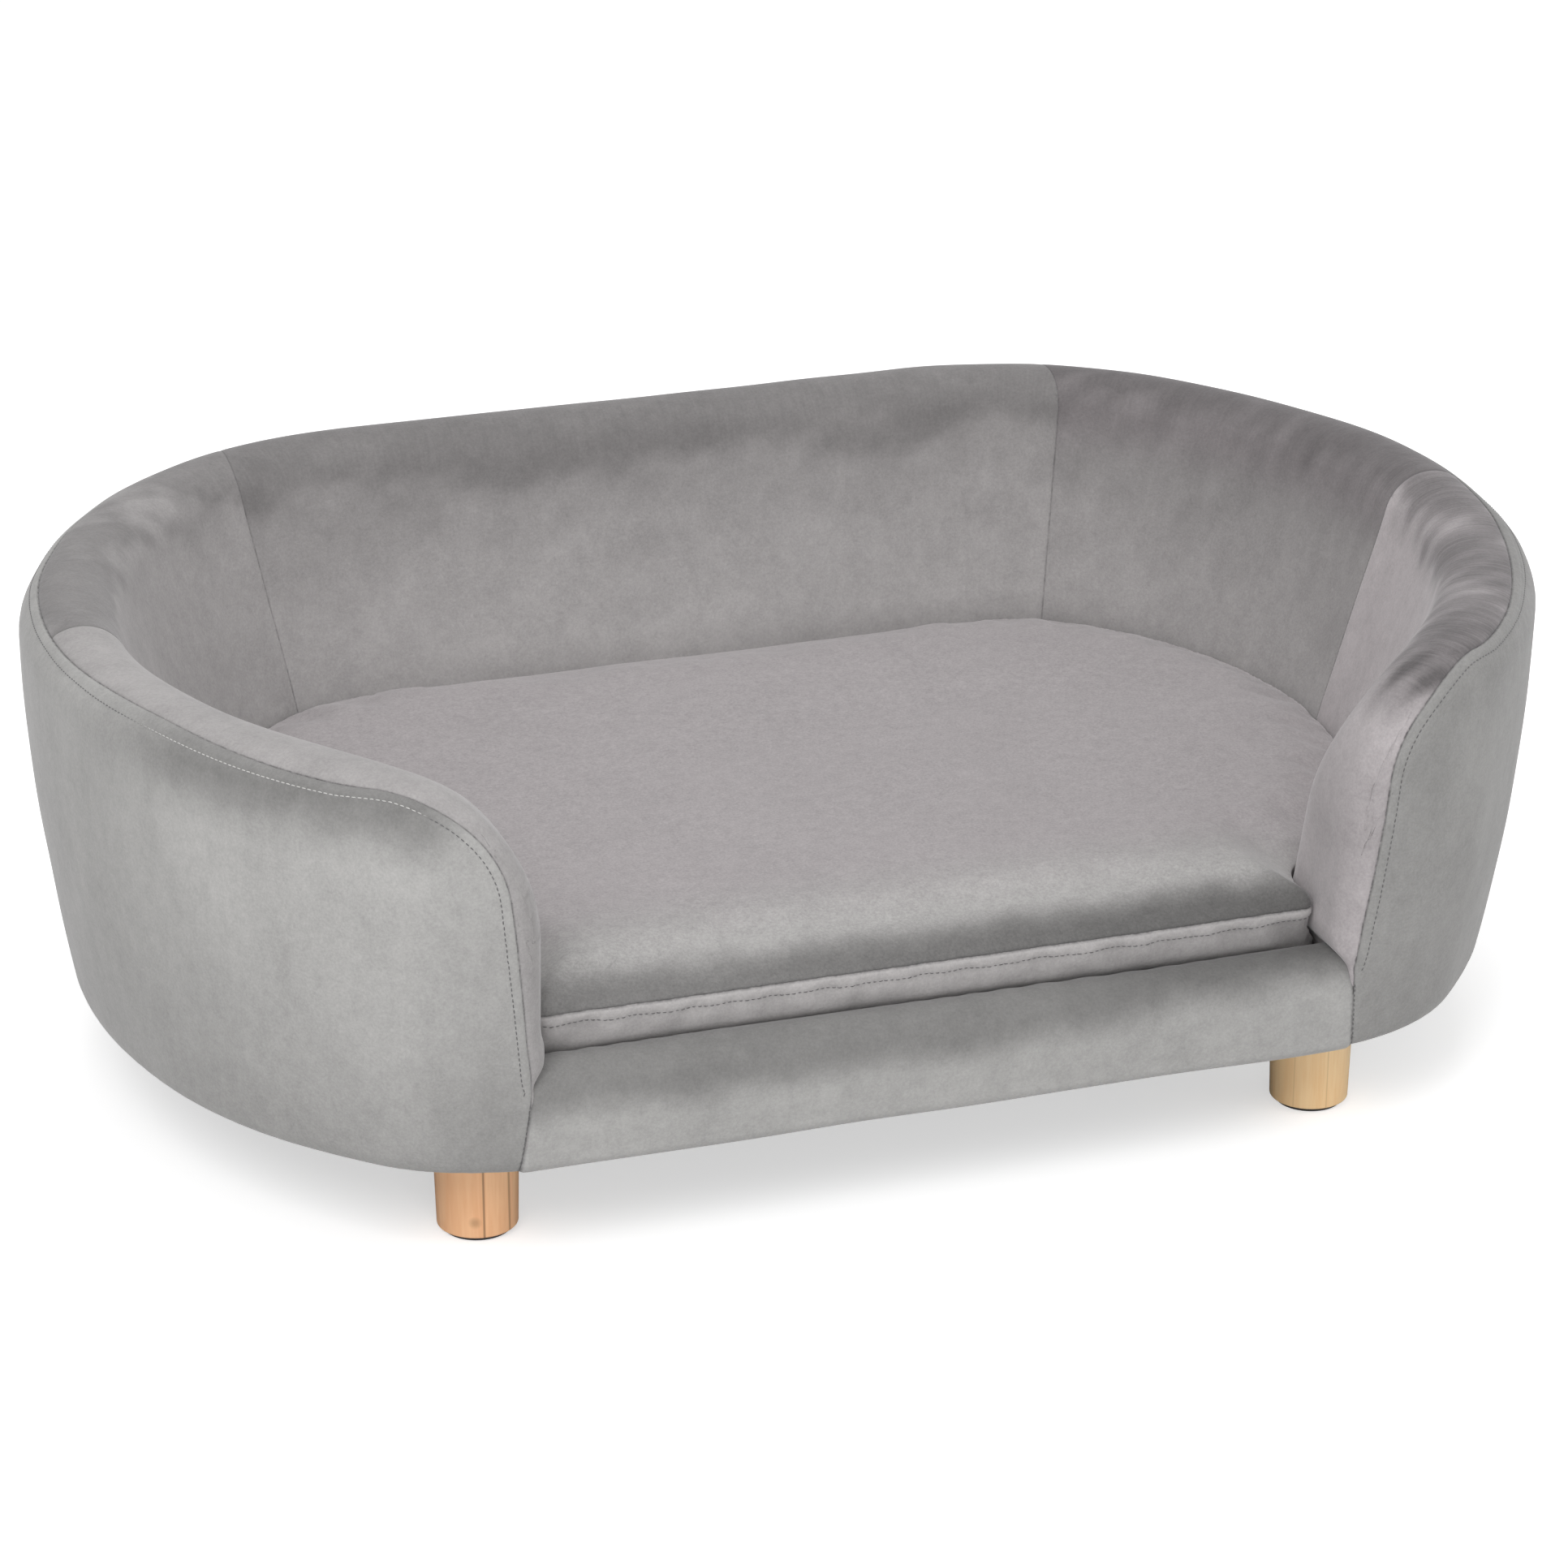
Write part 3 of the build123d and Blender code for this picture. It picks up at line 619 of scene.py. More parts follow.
def tub_panels():
    """The covers of the tub as one mesh per panel, with seams sewn in."""
    blank = new_object("tub_blank", tub_blank())
    remeshed(blank, 5 * MM)
    mesh = blank.data
    put_coords(mesh, settle(tub_field, coords(mesh), 6))
    for level, reach in CUTS:
        subdivided_near(mesh, level, reach, 11 * MM)
    put_coords(mesh, settle(tub_field, coords(mesh), 3))
    for level, reach in CUTS:
        cut_along(mesh, level, reach)
    p = coords(mesh)
    ids = panel_ids(np.array([polygon.center for polygon in mesh.polygons]))
    rim, inner = [], []
    for spots, pair in borders(mesh, ids):
        if NO_PANEL not in pair:
            (rim if OUTER in pair else inner).extend(spots)
    to_rim, to_inner = near_distance(p, rim), near_distance(p, inner)
    normal = slope_of(tub_field, p)
    outer = outer_side(p) < 0
    shift = hand_waves(p, 3) + arm_wrinkles(p)
    band = 1 - smooth_step(7.5 * MM, 9.5 * MM, to_rim)
    shift += np.where(outer, 0.55 * MM * band - 0.45 * MM * bell(to_rim - ROW_GAP, 1.1 * MM), 0)
    shift -= 1.2 * MM * np.exp(-to_rim / (1.3 * MM))
    depth = (0.9 - 0.55 * smooth_step(290 * MM, 315 * MM, p[:, 2])) * MM
    shift -= depth * np.exp(-to_inner / (1.3 * MM))
    put_coords(mesh, p + normal * shift[:, None])
    # Painted shade in the seam grooves, and painted shade of the needle holes along the row of stitches
    groove = np.maximum(bell(to_rim, SHADE_WIDTH), 0.8 * bell(to_inner, SHADE_WIDTH))
    needle_hole_shade = 0.35 * bell(to_rim - ROW_GAP, SHADE_WIDTH) * outer
    write_layers(mesh, groove=np.maximum(groove, needle_hole_shade), streak=rim_painted_streaks(p), run=run_of(p[:, 0], p[:, 1]))
    made = split_up(mesh, ids, PANELS)
    for index, name in enumerate(PANELS):
        panel = made[name].data
        # Painted light and shade of the pile on each panel
        write_layers(panel, tone=tub_painted_light(coords(panel), index), rose=tub_rose(coords(panel), index))
    bpy.data.objects.remove(blank)
    return made


def rail_half(z):
    """Half width of the rail's face at a height, up to its seams with the arms."""
    return seam_half(np.minimum(z, RAIL_MEET_Z)) + 0.3 * MM


def rail_rows():
    """Section of the rail's cover as (inset, height): from under the foot over the roll to the deck."""
    foot = outer_face(FOOT_Z + FOOT_ROUND)
    rows = [(foot + 40 * MM - step * 3 * MM, FOOT_Z) for step in range(10)]
    for angle in np.radians(np.linspace(75, 0, 7)):
        rows.append((foot + FOOT_ROUND * (1 - math.cos(angle)), FOOT_Z + FOOT_ROUND * (1 - math.sin(angle))))
    start = math.pi + RAIL_LEAN
    top = RAIL_Z + RAIL_ROLL * math.sin(start)
    rows += [(outer_face(z), z) for z in np.linspace(rows[-1][1], top, 16)[1:]]
    for angle in np.linspace(start, 0, 32)[1:]:
        rows.append((RAIL_CENTRE + RAIL_ROLL * math.cos(angle), RAIL_Z + RAIL_ROLL * math.sin(angle)))
    return rows + [(rows[-1][0], z) for z in np.linspace(RAIL_Z, DECK_Z, 9)[1:]]


def rail_cloth():
    """Cover of the front rail: a roll on a face that follows the wall, softly puckered along its top."""
    rows = rail_rows()
    columns = 181
    share = np.linspace(-1, 1, columns)
    lines = [np.column_stack((rail_half(z) * share, np.full(columns, -HALF_DEPTH + s), np.full(columns, z)))
             for s, z in rows]
    flat = np.concatenate(lines)
    x, z = flat[:, 0], flat[:, 2]
    normal = slope_of(rail_field, flat)
    from_end = rail_half(z) - np.abs(x)
    shift = hand_waves(flat, 11) * 0.8
    shift -= 1.6 * MM * np.exp(-from_end / (1.6 * MM))
    pucker = np.sin(x * 2 * math.pi / (23 * MM) + 2 * np.sin(x / (31 * MM)))
    shift += 0.35 * MM * pucker * smooth_step(112 * MM, 134 * MM, z) * (0.5 + 0.5 * np.sin(x / (57 * MM)))
    flat = flat + normal * shift[:, None]
    faces = []
    for here in range(0, (len(rows) - 1) * columns, columns):
        above = here + columns
        faces += [(here + c, here + c + 1, above + c + 1, above + c) for c in range(columns - 1)]
    mesh = from_pydata("rail_cloth", flat, faces)
    # Painted shade in the seam grooves at the rail's ends, and painted light and shade of its pile
    write_layers(mesh, groove=bell(from_end, 1.0 * MM), tone=rail_painted_light(flat))
    return smooth_object("rail_cover_cloth", mesh)


# Painted light and shade of the brushed pile, from dark to light, by height in mm on each panel of the tub
PANEL_PAINTED_LIGHT = (
    ((66, -0.15), (120, 0.02), (175, 0.2), (235, 0.4), (280, 0.5), (330, 0.35)),
    ((150, -0.3), (230, -0.25), (300, -0.1), (315, 0.05), (330, 0.1)),
    ((150, 0.05), (280, 0.0), (312, -0.15), (326, -0.8), (340, -0.75)),
    ((150, 0.2), (185, 0.2), (245, -0.1), (285, -0.45), (304, -0.9), (322, -1.0), (340, -0.95)),
    ((150, 0.1), (195, 0.08), (255, -0.35), (305, -0.95), (320, -1.3), (340, -1.35)),
    ((150, 0.45), (200, 0.7), (285, 0.78), (303, 0.3), (318, -0.85), (330, -1.15)),
)
RIM_TOP = 330


def outer_painted_light(p, tone, uneven, tongues):
    """Outer panel: a painted dark band of shade under the rim at the sides, painted lighter on the left than
    on the right.
    """
    x, y, z = p[:, 0], p[:, 1], p[:, 2] / MM
    band = through(z + uneven + 0.5 * tongues, (274, 0.0), (289, -0.3), (300, -0.75), (311, -1.0), (326, -0.7))
    band = band * (1 - smooth_step(-200 * MM, -60 * MM, y)) * smooth_step(292 * MM, 330 * MM, np.abs(x))
    left = tone + 1.25 * band
    left = left * (1 - 0.6 * smooth_step(425 * MM, 480 * MM, -x))
    left = left - 0.4 * (1 - smooth_step(285 * MM, 350 * MM, -x))
    # Painted shade in a patch on the right side of the outer panel
    beside = bell(x - 306 * MM, 24 * MM) * bell(z - 252, 48)
    right = -0.41 - 0.3 * beside + 0.2 * band + 0.1 * np.minimum(uneven, 1)
    right = right - 0.35 * smooth_step(430 * MM, 480 * MM, x)
    return left + (right - left) * smooth_step(-230 * MM, 230 * MM, x)


def tub_painted_light(p, index):
    """Painted light and shade of the brushed pile on a panel of the tub, from about -1.4 to 0.9."""
    x, y, z = p[:, 0], p[:, 1], p[:, 2] / MM
    uneven = hand_waves(p, 31) / MM
    tongues = ragged(p, 37)
    tone = through(z + 7 * uneven + 2.2 * tongues, *PANEL_PAINTED_LIGHT[index])
    if index == OUTER:
        tone = outer_painted_light(p, tone, uneven, tongues)
    if index == BACK:
        # Painted light over the rim of the back panel
        over = np.where(inset_of(x, y) < ROLL, -1.0, 1.0) * (RIM_TOP - z)
        tone = tone + through(over, (-12, 0.5), (-2, 0.1), (3, 0.0)) * smooth_step(-140 * MM, 300 * MM, x)
    if index == RIGHT_ARM:
        # Painted shade on the front of the right arm
        deeper = through(z, (150, -0.15), (175, -0.2), (215, -0.75), (250, -0.6), (290, -0.2))
        tone = tone + (1 - smooth_step(-290 * MM, -240 * MM, y)) * deeper
        # Painted shade below the wrinkles of the right arm
        crease = np.hypot(x - 301 * MM, y + 310 * MM)
        tone = tone - 0.7 * bell(crease, 27 * MM) * smooth_step(275, 305, z)
    return tone


def tub_rose(p, index):
    """How pink the grey is: not outside, a little inside, most on the right arm and its corner's rim."""
    corner_right = 0.45 + 0.5 * smooth_step(270 * MM, 310 * MM, p[:, 2])
    return (0.0, 0.42, 0.42, 0.42, corner_right, 0.95)[index] * np.ones(len(p))


def rail_painted_light(p):
    """Painted shade where the rail's roll turns up and back, painted light on its face."""
    height = p[:, 2] / MM + 1.2 * hand_waves(p, 33) / MM + 0.4 * ragged(p, 34)
    side = smooth_step(0.0, 250 * MM, p[:, 0])
    deep = -0.95 - 0.5 * side
    return 0.1 + (deep - 0.1) * smooth_step(0.0, 1.0, (height - 96 - 16 * side) / 28)


# Stitches


def evenly(line, pitch):
    """Points at an even pitch along a polyline."""
    steps = np.linalg.norm(np.diff(line, axis=0), axis=1)
    run = np.concatenate(([0], np.cumsum(steps)))
    places = np.arange(0, run[-1], pitch)
    return np.column_stack([np.interp(places, run, line[:, axis]) for axis in range(3)])


def face_tree(made):
    """Search tree of an object's faces."""
    mesh = made.data
    return BVHTree.FromPolygons(coords(mesh).tolist(), [tuple(f.vertices) for f in mesh.polygons])


def stitches(name, lines, cloths, painted_light_at):
    """Rows of thread stitches. Each is a bent strand that dips into the cloth at both ends."""
    trees = [face_tree(cloth) for cloth in cloths]
    points, faces, shades = [], [], []
    sides = 6
    for line in lines:
        spots = evenly(line, STITCH / STITCH_STEPS)
        for first in range(0, len(spots) - STITCH_STEPS, STITCH_STEPS):
            own = spots[first:first + 1 + round(STITCH_STEPS * STITCH_SHARE)]
            rings = []
            for step, spot in enumerate(own):
                found = min((tree.find_nearest(Vector(spot)) for tree in trees), key=lambda hit: hit[3])
                share = step / (len(own) - 1)
                lift = (1.1 * math.sin(math.pi * share) ** 0.5 - 0.5) * THREAD
                rings.append((np.array(found[0] + found[1] * lift), np.array(found[1]), share))
            ahead = rings[-1][0] - rings[0][0]
            ahead /= np.linalg.norm(ahead)
            faces += tube_faces(len(points), len(rings), sides)
            for middle, up, share in rings:
                across = np.cross(ahead, up)
                across /= np.linalg.norm(across)
                thick = THREAD * (0.45 + 0.55 * math.sin(math.pi * share))
                for side in range(sides):
                    angle = 2 * math.pi * side / sides
                    points.append(middle + thick * (across * math.cos(angle) + up * math.sin(angle) * 0.8))
                    # Painted light and shade of the thread at each point
                    shades.append(painted_light_at(middle))
    mesh = from_pydata(name, points, faces)
    write_layers(mesh, tone=shades)
    return smooth_object(name, mesh)


def front_surface(x, z):
    """Point of the tub's front at a width and height."""
    bend = np.maximum(np.abs(x) - FRONT_FLAT, 0)
    outline = -HALF_DEPTH + FRONT_BEND - np.sqrt(FRONT_BEND ** 2 - bend ** 2)
    y = bisected(outline - 10 * MM, outline + ROLL,
                 lambda middle: tub_field(np.column_stack((x, middle, z))) > 0)
    return np.column_stack((x, y, z))


def rim_seam_line(start_z):
    """The seam from the front of the right arm over the rim to the middle of the back."""
    top = seam_height(np.array([-320 * MM]))[0]
    turn = np.linspace(0, math.pi / 2, 60)
    up_z = np.linspace(start_z, top - RIM_CORNER, 90)
    arc_z = top - RIM_CORNER + RIM_CORNER * np.sin(turn)
    up = front_surface(seam_half(up_z), up_z)
    arc = front_surface(seam_half(arc_z) + RIM_CORNER - RIM_CORNER * np.cos(turn), arc_z)
    spot, out = plan_point(np.linspace(0, HALF_RUN, 1200))
    z = seam_height(spot[:, 1])
    s = ROLL - np.sqrt(ROLL ** 2 - (z - ROLL_Z) ** 2)
    rim = np.column_stack((spot - out * s[:, None], z))
    # The points next to the join are left out, so that the row bends evenly there
    rim = rim[(rim[:, 0] > arc[-1, 0] + 14 * MM) | (rim[:, 1] > 0)]
    return np.concatenate((up, arc[:-7], rim))


def beside_seam(line, distance):
    """The seam line moved sideways over the cloth, to the outer panel."""
    ahead = np.gradient(line, axis=0)
    normal = slope_of(tub_field, line)
    across = np.cross(ahead, normal)
    across /= np.linalg.norm(across, axis=1, keepdims=True)
    trial = outer_side(line + across * MM) < outer_side(line - across * MM)
    across *= np.where(trial, 1, -1)[:, None]
    return settle(tub_field, line + across * distance)


def rail_seam_line():
    """The seam between rail and outer panel, below the arm."""
    z = np.linspace(FOOT_Z + 5 * MM, 121 * MM, 60)
    return front_surface(seam_half(z) + 0.4 * MM, z)


# Materials: most helpers return the output that is used further on


def plug(socket, value):
    """Gives an input a value, or links another node's output to it."""
    if isinstance(value, bpy.types.NodeSocket):
        socket.id_data.links.new(value, socket)
    else:
        socket.default_value = value


def plug_all(target, sockets):
    """Plugs a value or an output into each of the given inputs of a node."""
    for key, value in sockets.items():
        plug(target.inputs[key], value)


def node(owner, kind, output, sockets, **settings):
    """Output of a new shader node of a material or world."""
    made = owner.node_tree.nodes.new(kind)
    for key, value in settings.items():
        setattr(made, key, value)
    plug_all(made, sockets)
    return made.outputs[output]


def shader(name, color, roughness, **sockets):
    """New material and its main shader."""
    made = bpy.data.materials.new(name)
    made.use_nodes = True
    main = made.node_tree.nodes["Principled BSDF"]
    plug_all(main, {"Base Color": (*color, 1), "Roughness": roughness})
    plug_all(main, {key.replace("_", " "): value for key, value in sockets.items()})
    return made, main


def object_place(owner):
    """Object coordinates."""
    return node(owner, "ShaderNodeTexCoord", "Object", {})


def stored(owner, name):
    """A number stored per vertex."""
    return node(owner, "ShaderNodeAttribute", "Fac", {}, attribute_name=name)


def calculated(owner, operation, *values):
    """Result of an operation on numbers."""
    return node(owner, "ShaderNodeMath", 0, dict(enumerate(values)), operation=operation)


def vectored(owner, operation, output, first, second):
    """Result of an operation on two vectors."""
    return node(owner, "ShaderNodeVectorMath", output, {0: first, 1: second}, operation=operation)


def noise(owner, place, size, detail, rough, stretch=None, distortion=0.0):
    """Noise whose features are about size metres across. A stretch below one draws it out on that axis."""
    if stretch:
        place = node(owner, "ShaderNodeMapping", "Vector", {"Vector": place, "Scale": stretch})
    return node(owner, "ShaderNodeTexNoise", "Fac", {
        "Vector": place, "Scale": 1 / size, "Detail": detail, "Roughness": rough, "Distortion": distortion})


def ranged(owner, source, low, high, to_low=0.0, to_high=1.0):
    """Maps a value range to another, clamped."""
    return node(owner, "ShaderNodeMapRange", "Result", {
        "Value": source, "From Min": low, "From Max": high, "To Min": to_low, "To Max": to_high})


def grained(owner, place, size, detail, stretch, low=0.3, high=0.7):
    """Wood grain, drawn out along one direction."""
    return ranged(owner, noise(owner, place, size, detail, 0.6, stretch, 0.4), low, high)


def summed(owner, *parts):
    """Weighted sum of (output, weight) parts."""
    total = 0
    for source, weight in parts:
        total = calculated(owner, "MULTIPLY_ADD", source, weight, total)
    return total


def mixed(owner, factor, first, second, blend="MIX"):
    """Colour that goes from the first to the second with a factor. Either may be a colour or an output."""
    ends = [(*value, 1) if isinstance(value, tuple) else value for value in (first, second)]
    sockets = {0: factor, 6: ends[0], 7: ends[1]}
    return node(owner, "ShaderNodeMix", 2, sockets, data_type="RGBA", blend_type=blend)


def bumped(owner, height, strength, distance, under=None):
    """Normal of a surface with relief, which may lie on a coarser one."""
    sockets = {"Strength": strength, "Distance": distance, "Height": height}
    if under is not None:
        sockets["Normal"] = under
    return node(owner, "ShaderNodeBump", "Normal", sockets)


def scaled(color, factor):
    """A colour with each channel multiplied."""
    return tuple(factor * value for value in color)


VELVET_DARK, VELVET_LIGHT = (0.26, 0.256, 0.251), (0.43, 0.424, 0.414)
ROSE = (1.0, 0.94, 0.98)
# Painted shade of the seam grooves and needle holes
PAINTED_SEAM_SHADE = (0.07, 0.068, 0.07)
STREAKS_PER_METRE = 420


def velvet(name, clouded, patched, flecked, fine):
    """Short-pile velvet: brushed patches, fine grain and a soft sheen, with painted light and shade of the
    pile from the tone layer, painted streaks of light and shade over the rim and painted shade in the seam
    lines.
    """
    made, main = shader(name, VELVET_LIGHT, 0.9, Sheen_Weight=0.3, Sheen_Roughness=0.4,
                        Sheen_Tint=(0.95, 0.94, 0.95, 1), Specular_IOR_Level=0.2)
    place = object_place(made)
    pile = summed(made, (ranged(made, noise(made, place, 0.10, 4, 0.62), 0.3, 0.7), clouded),
                  (ranged(made, noise(made, place, 0.03, 5, 0.7, (1.0, 1.0, 0.45)), 0.32, 0.68), patched),
                  (ranged(made, noise(made, place, 0.008, 4, 0.7), 0.32, 0.68), flecked),
                  (ranged(made, noise(made, place, 0.0018, 3, 0.75), 0.34, 0.66), fine))
    plain = mixed(made, pile, VELVET_DARK, VELVET_LIGHT)
    colour = mixed(made, stored(made, "rose"), plain, ROSE, "MULTIPLY")
    depth = node(made, "ShaderNodeSeparateXYZ", "Y", {"Vector": place})
    sweep = node(made, "ShaderNodeCombineXYZ", "Vector", {
        "X": stored(made, "run"), "Y": calculated(made, "MULTIPLY", depth, 0.07)})
    lines = ranged(made, noise(made, sweep, 1 / STREAKS_PER_METRE, 3, 0.6), 0.3, 0.7, -0.55, 0.55)
    painted_streaks = calculated(made, "MULTIPLY", lines, stored(made, "streak"))
    # Painted light and shade: the tone layer and the streaks make the colour lighter or darker for how the
    # pile lies to the lamps
    lie = summed(made, (stored(made, "tone"), 1.0), (painted_streaks, 0.4))
    factor = ranged(made, lie, -1.5, 1.5, 0.325, 1.675)
    light_painted_colour = node(made, "ShaderNodeVectorMath", 0, {0: colour, "Scale": factor}, operation="SCALE")
    # Painted shade in the seam grooves and needle holes, from the groove layer
    broken = ranged(made, noise(made, place, 0.004, 2, 0.6), 0.35, 0.65, 0.3, 0.85)
    line = calculated(made, "MULTIPLY", ranged(made, stored(made, "groove"), 0.25, 1.0), broken)
    soft = bumped(made, noise(made, place, 0.03, 3, 0.5), 0.3, 0.004)
    plug_all(main, {
        "Base Color": mixed(made, line, light_painted_colour, PAINTED_SEAM_SHADE),
        "Normal": bumped(made, noise(made, place, 0.0016, 3, 0.6), 0.4, 0.0006, soft),
    })
    return made


def pine_leg(name, centre, dark, light, joints, knot):
    """Clear-lacquered turned pine, glued up from staves: upright grain, thin joint lines and a knot."""
    made, main = shader(name, light, 0.42, Coat_Weight=0.12, Coat_Roughness=0.35, Specular_IOR_Level=0.35)
    local = vectored(made, "SUBTRACT", "Vector", object_place(made), centre)
    broad = grained(made, local, 0.016, 3, (1, 1, 0.16))
    fine = grained(made, local, 0.0022, 4, (1, 1, 0.05))
    rings = grained(made, local, 0.005, 2, (1, 1, 0.07), 0.42, 0.62)
    colour = mixed(made, summed(made, (broad, 0.5), (fine, 0.25), (rings, 0.25)), dark, light)
    sideways = (math.cos(PHOTO_TURN), -math.sin(PHOTO_TURN), 0)
    across = vectored(made, "DOT_PRODUCT", "Value", local, sideways)
    for offset, width, depth in joints:
        gap = calculated(made, "ABSOLUTE", calculated(made, "SUBTRACT", across, offset))
        colour = mixed(made, ranged(made, gap, width * 0.4, width, depth, 0.0), colour, scaled(dark, 0.36))
    eye = ranged(made, vectored(made, "DISTANCE", "Value", local, knot), 0.0012, 0.0046, 0.55, 0.0)
    plug_all(main, {
        "Base Color": mixed(made, eye, colour, scaled(dark, 0.5)),
        "Roughness": ranged(made, fine, 0.0, 1.0, 0.36, 0.5),
        "Normal": bumped(made, fine, 0.12, 0.0005),
    })
    return made


def sawn_wood(name, dark, light, size, stretch, rough=0.75):
    """Bare board or ply: drawn-out grain with a few darker streaks."""
    made, main = shader(name, light, rough)
    place = object_place(made)
    broad = grained(made, place, size, 4, stretch)
    fine = grained(made, place, size / 9, 3, stretch)
    colour = mixed(made, summed(made, (broad, 0.6), (fine, 0.4)), dark, light)
    plug_all(main, {"Base Color": colour, "Normal": bumped(made, fine, 0.3, 0.0006)})
    return made


def metal(name, color, rough, scratch):
    """Plated or painted metal with faint wear."""
    made, main = shader(name, color, rough, Metallic=1.0)
    wear = ranged(made, noise(made, object_place(made), scratch, 4, 0.7), 0.3, 0.7)
    roughness = ranged(made, wear, 0.0, 1.0, rough + 0.12, rough)
    plug_all(main, {"Base Color": mixed(made, wear, scaled(color, 0.72), color), "Roughness": roughness})
    return made


def moulded(name, color, rough):
    """Moulded plastic with a fine texture and slight scuffs."""
    made, main = shader(name, color, rough)
    place = object_place(made)
    scuff = ranged(made, noise(made, place, 0.006, 4, 0.7), 0.35, 0.75)
    relief = bumped(made, noise(made, place, 0.0006, 2, 0.5), 0.2, 0.0002)
    plug_all(main, {"Base Color": mixed(made, scuff, color, scaled(color, 1.35)), "Normal": relief})
    return made


def woven(name, color, pitch, contrast):
    """Thin cloth or tape: crossed threads and slight unevenness."""
    made, main = shader(name, color, 0.85, Specular_IOR_Level=0.25)
    place = object_place(made)
    wave = {"Vector": place, "Scale": math.pi / (10 * pitch), "Distortion": 0.6, "Detail": 1}
    threads = [(node(made, "ShaderNodeTexWave", "Fac", wave, bands_direction=way), 0.35) for way in ("X", "Y")]
    weave = summed(made, *threads, (noise(made, place, 0.02, 3, 0.6), 0.3))
    colour = mixed(made, weave, scaled(color, 1 - contrast), scaled(color, 1 + contrast))
    plug_all(main, {"Base Color": colour, "Normal": bumped(made, weave, 0.4, 0.0003)})
    return made


def thread_material():
    """Sewing thread: its tone layer paints it light where it catches the light and dark in the shade of its
    needle holes.
    """
    made, main = shader("thread", (0.3, 0.29, 0.29), 0.5, Sheen_Weight=0.3)
    colour = mixed(made, stored(made, "tone"), (0.09, 0.088, 0.09), (0.72, 0.71, 0.69))
    relief = bumped(made, noise(made, object_place(made), 0.0004, 2, 0.5), 0.5, 0.0002)
    plug_all(main, {"Base Color": colour, "Normal": relief})
    return made


def paint(made, material):
    """Gives an object one material."""
    made.data.materials.clear()
    made.data.materials.append(material)


# Camera at the photograph's angle


def aimed(made, spot, way):
    """Puts a camera or lamp at a spot, looking along a direction."""
    made.location = spot
    made.rotation_mode = "QUATERNION"
    made.rotation_quaternion = way.to_track_quat("-Z", "Y")


PHOTO_TURN, PHOTO_RISE = math.radians(18.78), math.radians(22.46)
PHOTO_DISTANCE, PHOTO_LENS = 3320.9 * MM, 115.87
level_share = math.cos(PHOTO_RISE)
to_camera = Vector((-math.sin(PHOTO_TURN) * level_share, -math.cos(PHOTO_TURN) * level_share,
                    math.sin(PHOTO_RISE)))
camera_data = bpy.data.cameras.new("camera")
camera_data.lens = PHOTO_LENS
camera_data.sensor_width = 36
camera_data.shift_x = 0.0032
camera_data.shift_y = 0.0090
camera = new_object("camera", camera_data)
aimed(camera, Vector((0, 0, 150 * MM)) + to_camera * PHOTO_DISTANCE, -to_camera)
bpy.context.scene.camera = camera


# Loose cushion
CUSHION_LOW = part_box("cushion_base_panel")[0].z
CUSHION_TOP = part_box("cushion_top_panel")[1].z
CUSHION_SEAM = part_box("cushion_boxing")[1].z
CUSHION_FRONT = -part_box("cushion_top_panel")[0].y
CROWN = CUSHION_TOP - CUSHION_SEAM
TONGUE_HALF = HALF_WAY - 1.4 * MM
TONGUE_LEAN = 14 * MM
TONGUE_CORNER = 8 * MM
TONGUE_JOIN = 34 * MM
EASE = 1.2 * MM
DRAW_IN = 8 * MM
SIMULATION_STEPS = 20
ZIP_LOW, ZIP_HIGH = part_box("zip_tape")
ZIP_MIDDLE = (ZIP_LOW.z + ZIP_HIGH.z) / 2
ZIP_RECESS = 0.5 * MM
CUSHION_PARTS = ("cushion_top_panel", "cushion_boxing", "cushion_base_panel", "zip_tape")


def cushion_plan(p):
    """Distance outside the cushion's plan at a point's own height, below zero inside."""
    x, y = p[:, 0], p[:, 1]
    z = np.minimum(p[:, 2], CUSHION_SEAM)
    half = TONGUE_HALF + 0.75 * (way_edge(z) - HALF_WAY)
    rise = (z - CUSHION_LOW) / (CUSHION_SEAM - CUSHION_LOW)
    oval = inner_face(z) + EASE + DRAW_IN * (1 - rise) - inset_of(x, y)
    over = (z - CUSHION_SEAM) / (CUSHION_SEAM - RAIL_Z)
    front = CUSHION_FRONT - 0.5 * MM + TONGUE_LEAN * over
    tongue = np.where(y > 0, 1.0, round_max(np.abs(x) - half, -y - front, TONGUE_CORNER))
    return -round_max(-oval, -tongue, TONGUE_JOIN)


def seam_sag(y):
    """How far the seam of the top panel hangs below its level at the rear: most at the front."""
    return 1.5 * MM * (1 - smooth_step(-280 * MM, 150 * MM, y))


def cushion_level(p):
    """Level function of the seam between the top panel and the boxing."""
    return p[:, 2] - (CUSHION_SEAM - seam_sag(p[:, 1]))


def cushion_field(p):
    """Level function of the cushion: crowned top, leaning boxing, flat base."""
    plan = cushion_plan(p)
    inward = np.clip(-plan / (150 * MM), 0, 1)
    top = (cushion_level(p) - CROWN * np.sqrt(1 - (1 - inward) ** 6 + 1e-4)) * 0.8
    return round_max(np.maximum(top, np.maximum(plan, -0.2)), CUSHION_LOW - p[:, 2], 4 * MM)


def cushion_rim(p):
    """Only the outer band of the cushion is cut by its seams."""
    return cushion_plan(p) > -14 * MM


def base_level(p):
    """Level function of the seam between the boxing and the base panel."""
    return p[:, 2] - CUSHION_LOW - 5 * MM


